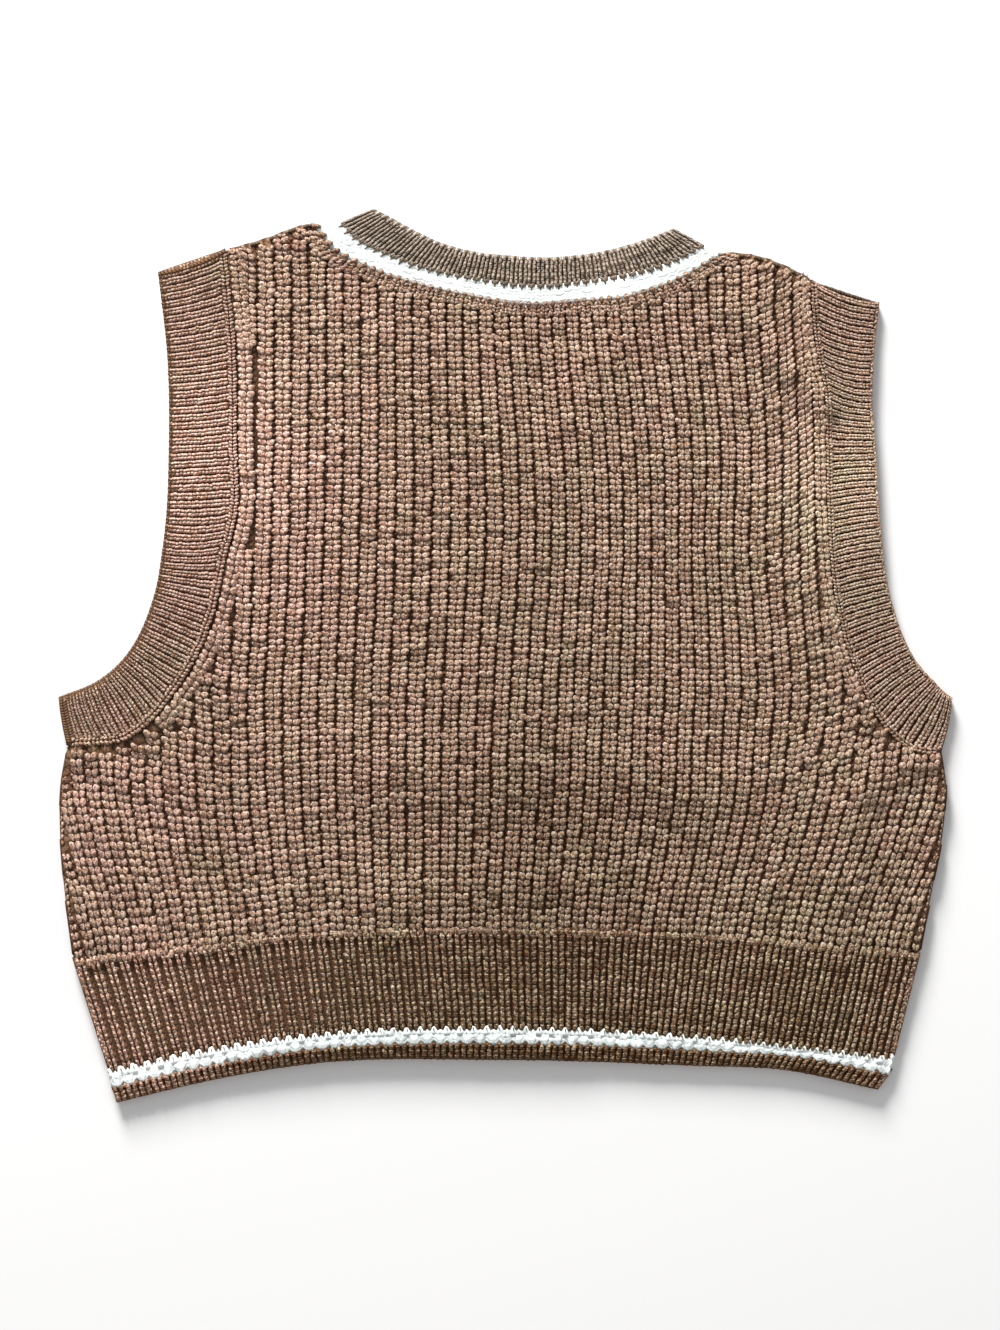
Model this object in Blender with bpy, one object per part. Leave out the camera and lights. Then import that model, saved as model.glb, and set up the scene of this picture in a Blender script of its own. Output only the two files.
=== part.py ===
"""Knitted sweater vest, laid flat with its back up and its neck towards +Y.

The front pieces rest on the ground and the back pieces lie on them. The neckband and the armhole
bands fold over from one to the other at the shoulders. The body, the bands and the hem are ribbed
on their outer face and plain inside, and the front's outer face is flat where it rests.
"""

import math

import bmesh
import bpy
import numpy as np

NAME = "sweater_vest"
MM = 0.001

# Cloth, in millimetres
FRONT_WALL = 3.0
SEAM_GAP = 0.3
FRONT_INSET = 1.0  # the front pieces end this far inside the back's free edges
SIDE_DROOP = 0.55  # share of the wall left at a rounded side
TRIM_DROOP = 0.7  # share of the wall left where the body is rounded down to its neck and shoulders

# A rib as its heights at equal steps through it
WIDE_RIB = (0.0, 1.0, 1.0)
FINE_RIB = (0.0, 1.0)
NO_RIB = (1.0,)

# Each kind of ribbing: how many ribs, how far they rise from the wall and, across a strip from its
# first line to its second, the profile's share across, share of wall and share of rib.
BODY = {"ribs": 53, "rib": WIDE_RIB, "rise": 1.8, "wall": 2.0}
ARMBAND = {
    "ribs": 64,
    "rib": FINE_RIB,
    "rise": 0.9,
    "wall": 1.8,
    "profile": ((0.0, 0.5, 0.2), (0.05, 1.0, 1.0), (0.78, 1.1, 1.0), (0.92, 1.45, 0.9), (1.0, 0.9, 0.3)),
}
EDGE_WALE = {
    "ribs": 32,
    "rib": NO_RIB,
    "rise": 1.8,
    "wall": 2.0,
    "profile": ((0.0, 0.8, 0.0), (0.2, 1.0, 0.7), (0.5, 1.0, 1.0), (0.8, 1.0, 0.7), (1.0, 0.8, 0.0)),
}
NECK_BROWN = {
    "ribs": 42,
    "rib": FINE_RIB,
    "rise": 0.9,
    "wall": 1.8,
    "profile": ((0.0, 0.5, 0.3), (0.1, 1.0, 1.0), (1.0, 1.0, 1.0)),
}
NECK_STRIPE = NECK_BROWN | {"profile": ((0.0, 1.0, 0.9), (0.8, 1.3, 0.5), (1.0, 0.8, 0.2))}
HEM_BROWN = {
    "ribs": 60,
    "rib": FINE_RIB,
    "rise": 1.3,
    "wall": 2.1,
    "profile": ((0.0, 0.7, 0.3), (0.05, 1.0, 1.0), (1.0, 1.0, 1.0)),
}
HEM_STRIPE = HEM_BROWN | {"profile": ((0.0, 1.0, 1.0), (1.0, 1.0, 1.0))}
HEM_EDGE = HEM_BROWN | {"profile": ((0.0, 1.0, 1.0), (0.8, 1.0, 1.0), (1.0, 0.5, 0.3))}

# Armhole bands, from the shoulder fold down to the underarm: the free edge and the seam with the body.
# free edge x, y, seam x, y
LEFT_ARMHOLE = (
    (-177.5, 195.6, -144.3, 206.8),
    (-172.6, 150.0, -139.6, 158.0),
    (-172.0, 104.8, -138.9, 109.0),
    (-173.4, 70.0, -138.8, 74.0),
    (-175.8, 50.0, -144.4, 50.0),
    (-179.0, 32.4, -149.8, 24.0),
    (-191.8, 2.8, -167.0, -13.5),
    (-209.0, -13.3, -194.0, -41.5),
    (-228.0, -21.2, -223.9, -45.1),
)
RIGHT_ARMHOLE = (
    (190.7, 180.3, 157.3, 191.2),
    (188.2, 158.9, 158.8, 165.0),
    (186.7, 134.4, 163.8, 136.0),
    (188.7, 105.0, 165.2, 104.8),
    (190.7, 70.1, 166.2, 66.0),
    (196.4, 29.3, 171.2, 22.0),
    (210.1, -3.8, 185.8, -21.0),
    (218.8, -13.5, 196.6, -38.0),
    (224.0, -18.8, 209.0, -47.5),
    (228.0, -21.7, 222.4, -48.7),
)
ARMHOLE_STEPS = 32

# Neckband on the back, from the left shoulder fold to the right: its free edge, the root of its brown
# rib where the cream stripe starts, and the stripe's seam with the body.
# free edge x, y, rib root x, y, seam x, y
BACK_NECK = (
    (-67.8, 228.2, -85.9, 220.6, -96.5, 221.4),
    (-60.0, 224.2, -78.0, 212.2, -87.0, 208.6),
    (-50.0, 218.8, -66.5, 205.8, -70.5, 199.8),
    (-32.6, 210.9, -42.0, 196.4, -44.0, 190.4),
    (-14.0, 206.3, -18.0, 191.6, -19.0, 185.2),
    (6.6, 204.3, 5.5, 187.9, 5.2, 181.2),
    (18.9, 203.7, 18.9, 187.4, 18.9, 180.9),
    (37.7, 205.0, 39.0, 189.4, 40.0, 182.6),
    (54.1, 207.8, 59.0, 191.8, 60.5, 184.2),
    (68.5, 211.6, 78.0, 196.6, 81.5, 190.6),
    (85.7, 218.0, 103.0, 208.6, 111.0, 206.3),
)
NECK_STEPS = 24

# Neckband on the front, mitred at the point of its V, with the same columns
FRONT_NECK = (
    (-67.8, 228.2, -85.9, 220.6, -96.5, 221.4),
    (-53.0, 178.0, -68.6, 173.3, -75.0, 171.4),
    (-18.0, 96.0, -33.0, 89.6, -39.2, 87.0),
    (12.0, 46.0, 12.0, 14.0, 12.0, 1.0),
    (42.0, 98.0, 57.0, 91.6, 63.2, 89.0),
    (73.0, 172.0, 88.6, 167.3, 95.0, 165.4),
    (85.7, 218.0, 103.0, 208.6, 111.0, 206.3),
)

# Shoulder folds of the body, from the left armhole to the neck and from the neck to the right armhole: x, y
LEFT_SHOULDER = ((-144.3, 206.8), (-120.4, 213.9), (-106.0, 219.4), (-96.5, 221.4))
RIGHT_SHOULDER = ((111.0, 206.3), (128.0, 204.3), (145.9, 197.6), (157.3, 191.2))

# Side folds of the body, from above the armholes down to the hem rib.
# left x, y, right x, y
SIDES = (
    (-223.0, 240.0, 223.0, 240.0),
    (-223.0, 60.0, 223.0, 60.0),
    (-223.9, -45.1, 222.4, -48.7),
    (-227.4, -66.0, 224.9, -66.0),
    (-227.9, -98.0, 223.2, -98.0),
    (-225.6, -124.0, 218.2, -124.0),
    (-220.8, -156.8, 211.1, -154.3),
)
SIDE_STEPS = 40

# Hem rib, from its left side to its right: the line where it leaves the body, the top and the bottom
# of its cream stripe, and its cast-on edge.
# body line x, y, stripe top x, y, stripe bottom x, y, edge x, y
HEM = (
    (-220.8, -156.8, -203.4, -210.6, -201.0, -221.0, -199.0, -228.2),
    (-165.0, -149.9, -152.0, -199.6, -150.5, -209.6, -149.0, -216.4),
    (-110.0, -143.8, -102.0, -192.4, -101.0, -201.6, -100.0, -208.3),
    (-5.0, -140.3, -2.5, -188.5, -2.5, -198.2, -3.0, -206.2),
    (105.0, -144.6, 98.0, -193.2, 97.0, -201.9, 95.5, -209.3),
    (160.0, -149.6, 150.0, -198.6, 147.0, -205.0, 143.0, -211.6),
    (211.1, -154.3, 198.6, -204.0, 195.6, -214.2, 190.2, -221.6),
)
HEM_STEPS = 40
HEM_END_CUT = 0.0025  # share of the hem's width that the front's hem is shorter by at each side
FRONT_HEM_POINTS = 11
FRONT_SIDE_POINTS = 8

# Rows of the body's grid, as shares of the way from the hem rib to above the shoulders
BODY_ROWS = (0.0, 0.012, 0.06, 0.13, 0.21, 0.28, 0.36, 0.45, 0.54, 0.63, 0.72, 0.81, 0.9, 1.0)
BODY_TOP = 236.0
SHOULDER_STEPS = 5
TRIM_REACH = 300.0  # the trim block ends this far out, well clear of the cloth
HEM_END_RIB = 0.4  # share of a body rib's rise where it meets the hem rib

# Clearing up after the body's joins
MERGE = 0.01
ON_EDGE = 0.05  # a point this near the trimmed edge is on it
FACING_IN = -0.9  # a face whose normal's z is below this is on the inner side
PLAIN_ANGLE = 3.0  # faces of the inner side that meet at less than this many degrees are joined

# The wale that runs along each armhole, as distances from the seam
EDGE_WALE_FROM, EDGE_WALE_TO = 0.8, 7.8
EDGE_WALE_SUNK = 0.8  # its underside is this far up in the body's wall
RIB_FADE_FROM, RIB_FADE_TO = 2.0, 10.0  # the body's ribs rise over this stretch

# Soft folds of the back, as ridges: from x, y, to x, y, half width, height
FOLDS = {
    "right shoulder": (117.0, 177.0, 161.0, 129.0, 9.0, 2.6),
    "chest left": (-110.0, -55.0, 0.0, -62.0, 18.0, 1.2),
    "chest right": (52.0, -60.0, 112.0, -70.0, 16.0, 1.5),
    "waist": (-60.0, -122.0, 95.0, -118.0, 16.0, 1.1),
    "right side": (177.0, -62.0, 166.0, -172.0, 13.0, 2.2),
    "left side": (-211.0, -78.0, -207.0, -138.0, 9.0, 1.2),
    "left underarm": (-217.0, -52.0, -177.0, -70.0, 8.0, 1.6),
    "right underarm": (208.0, -54.0, 186.0, -68.0, 8.0, 1.7),
}

# How far the back sinks into the front's V opening, and where it does so inside the opening's edge
NECK_SAG = 2.9
SAG_START, SAG_BLEND = 9.0, 22.0

# Yarn
BROWN = (0.235, 0.135, 0.085, 1.0)
CREAM = (0.82, 0.80, 0.74, 1.0)
YARN_ROUGHNESS = 0.92


def ease(share):
    """0 to 1 with level ends."""
    share = np.clip(share, 0.0, 1.0)
    return share * share * (3.0 - 2.0 * share)


def smooth_rows(table, count):
    """Rows read evenly along the smooth lines that run through a table's columns of x, y."""
    rows = np.array(table, float)
    middle = rows.reshape(len(rows), -1, 2).mean(axis=1)
    along = np.append(0.0, np.cumsum(np.linalg.norm(np.diff(middle, axis=0), axis=1)))
    slope = np.gradient(rows, along, axis=0)
    places = np.linspace(0.0, along[-1], count + 1)
    i = np.clip(np.searchsorted(along, places, side="right") - 1, 0, len(along) - 2)
    span = (along[i + 1] - along[i])[:, None]
    t = (places - along[i])[:, None] / span
    start = (1.0 + 2.0 * t) * (1.0 - t) ** 2 * rows[i] + t * (1.0 - t) ** 2 * span * slope[i]
    end = t * t * (3.0 - 2.0 * t) * rows[i + 1] - t * t * (1.0 - t) * span * slope[i + 1]
    return start + end


def read(rows, shares):
    """The rows' values at shares of the way along them, straight from one row to the next."""
    steps = np.asarray(shares) * (len(rows) - 1)
    return np.stack([np.interp(steps, np.arange(len(rows)), column) for column in rows.T], axis=-1)


def moved_left(line, distance):
    """A line moved sideways, to the left of the way it runs."""
    way = np.gradient(line, axis=0)
    way /= np.linalg.norm(way, axis=1)[:, None]
    return line + distance * np.stack([-way[:, 1], way[:, 0]], axis=1)


def drawn_in(near, far, near_gap, far_gap):
    """Two matching lines, each moved towards the other."""
    way = far - near
    way /= np.linalg.norm(way, axis=1)[:, None]
    return near + near_gap * way, far - far_gap * way


def distance_to(line, places):
    """How far each place lies from a line of straight pieces."""
    start, way = line[:-1], np.diff(line, axis=0)
    from_start = places[..., None, :] - start
    share = np.clip((from_start * way).sum(-1) / (way * way).sum(-1), 0.0, 1.0)
    return np.linalg.norm(from_start - share[..., None] * way, axis=-1).min(axis=-1)


def inside_vee(places):
    """How far each place lies inside the front's V opening, below 0 outside."""
    left_corner, tip, right_corner = (np.array(FRONT_NECK[i][:2]) for i in (0, 3, -1))
    offset = places - tip
    reach = []
    for corner, side in ((left_corner, 1.0), (right_corner, -1.0)):
        way = (corner - tip) / np.linalg.norm(corner - tip)
        reach.append(side * (offset[..., 0] * way[1] - offset[..., 1] * way[0]))
    return np.minimum(*reach)


def inner_height(places):
    """The height of the back's inner face, which lies on the front, over each place."""
    height = np.full(places.shape[:-1], FRONT_WALL + SEAM_GAP)
    for start_x, start_y, end_x, end_y, half_width, rise in FOLDS.values():
        ridge = np.array([(start_x, start_y), (end_x, end_y)])
        height += rise * np.exp(-((distance_to(ridge, places) / half_width) ** 2))
    return height - NECK_SAG * ease((inside_vee(places) - SAG_START) / SAG_BLEND)


def knit_material(name, colour):
    """Plain yarn of one colour."""
    material = bpy.data.materials.new(name)
    material.use_nodes = True
    shader = material.node_tree.nodes["Principled BSDF"]
    shader.inputs["Base Color"].default_value = colour
    shader.inputs["Roughness"].default_value = YARN_ROUGHNESS
    shader.inputs["Metallic"].default_value = 0.0
    material.diffuse_color = colour
    return material


def cloth(name, plan, outer, inner, collection):
    """One closed wall over a grid of plan places, from its inner heights to its outer ones."""
    rows, columns = outer.shape
    bm = bmesh.new()
    bmesh.ops.create_grid(bm, x_segments=columns - 1, y_segments=rows - 1, size=0.5)
    made = bmesh.ops.extrude_face_region(bm, geom=bm.faces[:])["geom"]
    upper = {item for item in made if isinstance(item, bmesh.types.BMVert)}
    for vert in bm.verts:
        column = round((vert.co.x + 0.5) * (columns - 1))
        row = round((vert.co.y + 0.5) * (rows - 1))
        height = (outer if vert in upper else inner)[row, column]
        vert.co = (plan[row, column, 0] * MM, plan[row, column, 1] * MM, height * MM)
    bmesh.ops.recalc_face_normals(bm, faces=bm.faces[:])
    mesh = bpy.data.meshes.new(name)
    bm.to_mesh(mesh)
    bm.free()
    piece = bpy.data.objects.new(name, mesh)
    collection.objects.link(piece)
    return piece


def rib_heights(ribbing):
    """The rise of each column of a ribbed grid, and the columns as shares of the way along it."""
    heights = np.append(np.tile(ribbing["rib"], ribbing["ribs"]), ribbing["rib"][0])
    return ribbing["rise"] * heights, np.linspace(0.0, 1.0, len(heights))


def strip(name, lines, ribbing, collection, sunk=0.0):
    """A ribbed strip between two matching lines, its ribs running across from one to the other."""
    rise, shares = rib_heights(ribbing)
    near, far = (read(line, shares) for line in lines)
    across, wall_share, rib_share = (column[:, None] for column in np.array(ribbing["profile"]).T)
    plan = near + across[:, :, None] * (far - near)
    inner = inner_height(plan)
    outer = inner + ribbing["wall"] * wall_share + rib_share * rise
    if not sunk:
        outer[:, [0, -1]] = inner[:, [0, -1]] + ribbing["wall"] * SIDE_DROOP
    return cloth(name, plan, outer, inner + sunk, collection)


def plate(name, outline, collection):
    """A flat piece of the front, on the ground."""
    curve = bpy.data.curves.new(name, "CURVE")
    curve.dimensions = "2D"
    curve.fill_mode = "BOTH"
    curve.extrude = FRONT_WALL / 2 * MM
    line = curve.splines.new("POLY")
    line.points.add(len(outline) - 1)
    for point, (x, y) in zip(line.points, outline):
        point.co = (x * MM, y * MM, 0.0, 1.0)
    line.use_cyclic_u = True
    piece = bpy.data.objects.new(name, curve)
    piece.location.z = FRONT_WALL / 2 * MM
    collection.objects.link(piece)
    return piece


def plain_strip(name, lines, collection):
    """A flat strip of the front between two matching lines."""
    near, far = lines
    return plate(name, [*near, *far[::-1]], collection)


def body_outline(neck_line, left_armhole, right_armhole):
    """The body's edge from the left underarm over the shoulders and the neck to the right underarm."""
    left_shoulder = smooth_rows(LEFT_SHOULDER, SHOULDER_STEPS)
    right_shoulder = smooth_rows(RIGHT_SHOULDER, SHOULDER_STEPS)
    return np.concatenate(
        [left_armhole[::-1], left_shoulder[1:], neck_line[1:-1], right_shoulder[:-1], right_armhole]
    )


def side_folds():
    """The body's side folds, as x against y: functions for the left and the right."""
    rows = smooth_rows(SIDES, SIDE_STEPS)[::-1]
    return (
        lambda y: np.interp(y, rows[:, 1], rows[:, 0]),
        lambda y: np.interp(y, rows[:, 3], rows[:, 2]),
    )


def trim_solid(outline, collection):
    """A tall block over the body, cut to its edge above the underarms and clear of it below."""
    out = TRIM_REACH
    corners = [(out, outline[-1][1]), (out, -out), (-out, -out), (-out, outline[0][1])]
    block = plate("body_trim", [*outline, *corners], collection)
    block.data.extrude = TRIM_REACH * MM
    mesh = bpy.data.meshes.new_from_object(block.evaluated_get(bpy.context.evaluated_depsgraph_get()))
    trim = bpy.data.objects.new("body_trim_solid", mesh)
    collection.objects.link(trim)
    bpy.data.objects.remove(block)
    bm = bmesh.new()
    bm.from_mesh(mesh)
    bmesh.ops.remove_doubles(bm, verts=bm.verts[:], dist=MERGE * MM)
    bmesh.ops.recalc_face_normals(bm, faces=bm.faces[:])
    bm.to_mesh(mesh)
    bm.free()
    return trim


def join_modifier(piece, other, operation):
    modifier = piece.modifiers.new(other.name, "BOOLEAN")
    modifier.operation = operation
    modifier.solver = "EXACT"
    modifier.object = other
    other.hide_render = True
    other.display_type = "WIRE"


def rounded_and_plain(piece, outline):
    """Applies the joins, rounds the trimmed edges down and joins the flat faces of the plain inner side."""
    bpy.context.view_layer.update()
    graph = bpy.context.evaluated_depsgraph_get()
    bm = bmesh.new()
    bm.from_mesh(bpy.data.meshes.new_from_object(piece.evaluated_get(graph)))
    bmesh.ops.remove_doubles(bm, verts=bm.verts[:], dist=MERGE * MM)
    places = np.array([vert.co for vert in bm.verts]) / MM
    floor = inner_height(places[:, :2])
    on_edge = distance_to(outline, places[:, :2]) < ON_EDGE
    for vert, place, low, at_edge in zip(bm.verts, places, floor, on_edge):
        if at_edge and place[2] > low + BODY["wall"] / 2:
            vert.co.z = (low + BODY["wall"] * TRIM_DROOP) * MM
    bm.normal_update()
    inner_edges = [edge for edge in bm.edges if all(face.normal.z < FACING_IN for face in edge.link_faces)]
    bmesh.ops.dissolve_limit(bm, angle_limit=math.radians(PLAIN_ANGLE), verts=[], edges=inner_edges)
    bmesh.ops.triangulate(bm, faces=[face for face in bm.faces if len(face.verts) > 4])
    bmesh.ops.recalc_face_normals(bm, faces=bm.faces[:])
    piece.modifiers.clear()
    bm.to_mesh(piece.data)
    bm.free()


def back_body(outline, left_armhole, right_armhole, parts, cutters):
    """The back panel: ribs up it, a wale along each armhole, trimmed at the neck and the shoulders."""
    rise, shares = rib_heights(BODY)
    hem_line = read(smooth_rows(HEM, HEM_STEPS)[:, :2], shares)[:, 1] + SEAM_GAP
    up = np.array(BODY_ROWS)[:, None]
    y = hem_line + up * (BODY_TOP - hem_line)
    left, right = side_folds()
    x = left(y) + shares * (right(y) - left(y))
    plan = np.stack([x, y], axis=-1)
    inner = inner_height(plan)
    from_seam = np.minimum(distance_to(left_armhole, plan), distance_to(right_armhole, plan))
    rib_share = ease((from_seam - RIB_FADE_FROM) / (RIB_FADE_TO - RIB_FADE_FROM))
    rib_share[0] *= HEM_END_RIB
    outer = inner + BODY["wall"] + rib_share * rise
    outer[:, [0, -1]] = inner[:, [0, -1]] + BODY["wall"] * SIDE_DROOP
    body = cloth("back_body", plan, outer, inner, parts)
    for side, seam, inward in (("left", left_armhole, 1.0), ("right", right_armhole, -1.0)):
        lines = [moved_left(seam, inward * distance) for distance in (EDGE_WALE_FROM, EDGE_WALE_TO)]
        wale = strip(f"{side}_edge_wale", lines, EDGE_WALE, cutters, EDGE_WALE_SUNK)
        join_modifier(body, wale, "UNION")
    join_modifier(body, trim_solid(outline, cutters), "INTERSECT")
    rounded_and_plain(body, outline)


def back_bands(armholes, neck, parts):
    """The armhole bands and the neckband with its stripe, as far as the back shows them."""
    for side, rows in armholes.items():
        strip(f"{side}_armband_back", drawn_in(rows[:, :2], rows[:, 2:], 0.0, SEAM_GAP), ARMBAND, parts)
    free_edge, root, seam = neck[:, :2], neck[:, 2:4], neck[:, 4:]
    strip("back_neck_rib", drawn_in(free_edge, root, 0.0, SEAM_GAP), NECK_BROWN, parts)
    strip("back_neck_stripe", drawn_in(root, seam, 0.0, SEAM_GAP), NECK_STRIPE, parts)


def back_hem(hem, parts):
    """The hem rib, in three pieces by colour."""
    body_line, stripe_top, stripe_bottom, edge = (hem[:, i : i + 2] for i in (0, 2, 4, 6))
    strip("back_hem_rib", drawn_in(body_line, stripe_top, 0.0, SEAM_GAP), HEM_BROWN, parts)
    strip("back_hem_stripe", drawn_in(stripe_top, stripe_bottom, 0.0, SEAM_GAP), HEM_STRIPE, parts)
    strip("back_hem_edge", (stripe_bottom, edge), HEM_EDGE, parts)


def front_pieces(armholes, hem, parts):
    """The front: the same pieces, plain, with a V neck, a little smaller so that the back covers them."""
    front_neck = np.array(FRONT_NECK)
    seams = {side: rows[::2, 2:] for side, rows in armholes.items()}
    left, right = side_folds()
    hem_rows = read(hem, np.linspace(HEM_END_CUT, 1.0 - HEM_END_CUT, FRONT_HEM_POINTS))
    body_line = hem_rows[:, :2] + (0.0, SEAM_GAP)
    right_y = np.linspace(seams["right"][-1][1], body_line[-1][1], FRONT_SIDE_POINTS)[1:-1]
    left_y = np.linspace(body_line[0][1], seams["left"][-1][1], FRONT_SIDE_POINTS)[1:-1]
    outline = [
        *body_outline(front_neck[:, 4:], seams["left"], seams["right"]),
        *zip(right(right_y) - FRONT_INSET, right_y),
        *body_line[::-1],
        *zip(left(left_y) + FRONT_INSET, left_y),
    ]
    plate("front_body", outline, parts)
    for side, rows in armholes.items():
        lines = drawn_in(rows[::2, :2], rows[::2, 2:], FRONT_INSET, SEAM_GAP)
        plain_strip(f"{side}_armband_front", lines, parts)
    free_edge, root, seam = front_neck[:, :2], front_neck[:, 2:4], front_neck[:, 4:]
    plain_strip("front_neck_rib", drawn_in(free_edge, root, 0.0, SEAM_GAP), parts)
    plain_strip("front_neck_stripe", drawn_in(root, seam, 0.0, SEAM_GAP), parts)
    body_line, stripe_top, stripe_bottom, edge = (hem_rows[:, i : i + 2] for i in (0, 2, 4, 6))
    plain_strip("front_hem_rib", drawn_in(body_line, stripe_top, 0.0, SEAM_GAP), parts)
    plain_strip("front_hem_stripe", drawn_in(stripe_top, stripe_bottom, 0.0, SEAM_GAP), parts)
    plain_strip("front_hem_edge", drawn_in(stripe_bottom, edge, 0.0, FRONT_INSET), parts)


def main():
    for item in list(bpy.data.objects):
        bpy.data.objects.remove(item)
    parts = bpy.data.collections.new(NAME)
    cutters = bpy.data.collections.new(f"{NAME}_cutters")
    for collection in (parts, cutters):
        bpy.context.scene.collection.children.link(collection)

    neck = smooth_rows(BACK_NECK, NECK_STEPS)
    hem = smooth_rows(HEM, HEM_STEPS)
    armholes = {
        "left": smooth_rows(LEFT_ARMHOLE, ARMHOLE_STEPS),
        "right": smooth_rows(RIGHT_ARMHOLE, ARMHOLE_STEPS),
    }
    left_seam, right_seam = armholes["left"][:, 2:], armholes["right"][:, 2:]
    outline = body_outline(neck[:, 4:], left_seam, right_seam)
    back_body(outline, left_seam, right_seam, parts, cutters)
    back_bands(armholes, neck, parts)
    back_hem(hem, parts)
    front_pieces(armholes, hem, parts)
    for piece in parts.objects:
        colour = CREAM if piece.name.endswith("stripe") else BROWN
        piece.data.materials.append(knit_material(piece.name, colour))


if __name__ == "__main__":
    main()
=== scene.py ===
import math
from functools import partial

import bmesh
import bpy
import numpy as np
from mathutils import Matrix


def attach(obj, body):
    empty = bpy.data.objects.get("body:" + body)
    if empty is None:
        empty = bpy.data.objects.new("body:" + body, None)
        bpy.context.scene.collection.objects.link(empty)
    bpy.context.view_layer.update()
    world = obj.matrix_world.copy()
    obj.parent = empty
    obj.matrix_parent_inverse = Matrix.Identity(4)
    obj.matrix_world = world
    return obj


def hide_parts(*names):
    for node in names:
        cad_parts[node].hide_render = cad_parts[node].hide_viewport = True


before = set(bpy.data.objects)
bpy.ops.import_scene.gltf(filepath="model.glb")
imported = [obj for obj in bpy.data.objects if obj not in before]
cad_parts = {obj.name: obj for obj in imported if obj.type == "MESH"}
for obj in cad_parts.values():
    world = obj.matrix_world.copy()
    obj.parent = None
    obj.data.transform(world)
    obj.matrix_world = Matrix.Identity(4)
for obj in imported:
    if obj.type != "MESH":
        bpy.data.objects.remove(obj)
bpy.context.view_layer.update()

mm = 0.001

# The vest's plan in millimetres, neck towards +Y, as smooth lines through a few places.
# Armhole bands from the shoulder down to the underarm: free edge x, y, then seam x, y
leftArmhole = (
    (-177.5, 195.6, -144.3, 206.8),
    (-172.6, 150, -139.5, 155),
    (-172, 104.8, -138.9, 107.2),
    (-173.4, 70, -138.9, 71.5),
    (-175.8, 50, -144.4, 50),
    (-179, 32.4, -149.8, 24),
    (-191.8, 2.8, -167, -13.5),
    (-209, -13.3, -194, -41.5),
    (-228, -21.2, -223.9, -45.1),
)
rightArmhole = (
    (190.7, 180.3, 157.3, 191.2),
    (188.2, 157.5, 158.8, 165),
    (186.9, 128.5, 163.9, 134),
    (188.7, 105, 165.2, 104.8),
    (190.7, 70.1, 166.2, 66),
    (196.4, 29.3, 171.2, 22),
    (210.1, -3.8, 185.8, -21),
    (218.8, -13.5, 196.6, -38),
    (224, -18.8, 209, -47.5),
    (228, -21.7, 222.4, -48.7),
)
# Neckband from the left shoulder to the right: free edge, root of the brown rib, seam with the body
backNeck = (
    (-67.8, 228.2, -85.9, 220.6, -96.5, 221.4),
    (-60, 224.2, -78, 212.2, -87, 208.6),
    (-50, 218.8, -66.5, 205.8, -70.5, 199.8),
    (-32.6, 210.9, -42, 196.4, -44, 190.4),
    (-14, 206.3, -18, 191.6, -19, 185.2),
    (6.6, 204.3, 5.5, 187.9, 5.2, 181.2),
    (18.9, 203.7, 18.9, 187.4, 18.9, 180.9),
    (37.7, 205, 39, 189.4, 40, 182.6),
    (54.1, 207.8, 59, 191.8, 60.5, 184.2),
    (68.5, 211.6, 78, 196.6, 81.5, 190.6),
    (85.7, 218, 103, 208.6, 111, 206.3),
)
frontNeck = (
    (-67.8, 228.2, -85.9, 220.6, -96.5, 221.4),
    (-53, 178, -68.6, 173.3, -75, 171.4),
    (-18, 96, -33, 89.6, -39.2, 87),
    (12, 46, 12, 14, 12, 1),
    (42, 98, 57, 91.6, 63.2, 89),
    (73, 172, 88.6, 167.3, 95, 165.4),
    (85.7, 218, 103, 208.6, 111, 206.3),
)
leftShoulder = ((-144.3, 206.8), (-120.4, 213.9), (-106.0, 219.4), (-96.5, 221.4))
rightShoulder = ((111.0, 206.3), (128.0, 204.3), (145.9, 197.6), (157.3, 191.2))
# Side folds from above the armholes down to the hem rib: left x, y, right x, y
sides = (
    (-212, 240, 214, 240),
    (-213, 90, 215, 90),
    (-223.9, -45.1, 222.4, -48.7),
    (-227.4, -66, 224.9, -66),
    (-227.4, -98, 222, -98),
    (-225.1, -124, 216.8, -124),
    (-220.8, -156.8, 211.1, -154.3),
)
# Hem from its left side to its right: body line, stripe top, stripe bottom, cast-on edge
hem = (
    (-220.8, -156.8, -203.4, -210.6, -201, -221, -199, -228.2),
    (-165, -149.9, -152, -199.6, -150.5, -209.6, -149, -216.4),
    (-110, -143.8, -102, -192.4, -101, -201.6, -100, -208.3),
    (-5, -140.3, -2.5, -188.5, -2.5, -198.2, -3, -206.2),
    (105, -144.6, 98, -193.2, 97, -201.9, 95.5, -209.3),
    (160, -149.6, 150, -198.6, 147, -205, 143, -211.6),
    (211.1, -154.3, 198.6, -204, 195.6, -214.2, 190.2, -221.6),
)

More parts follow.
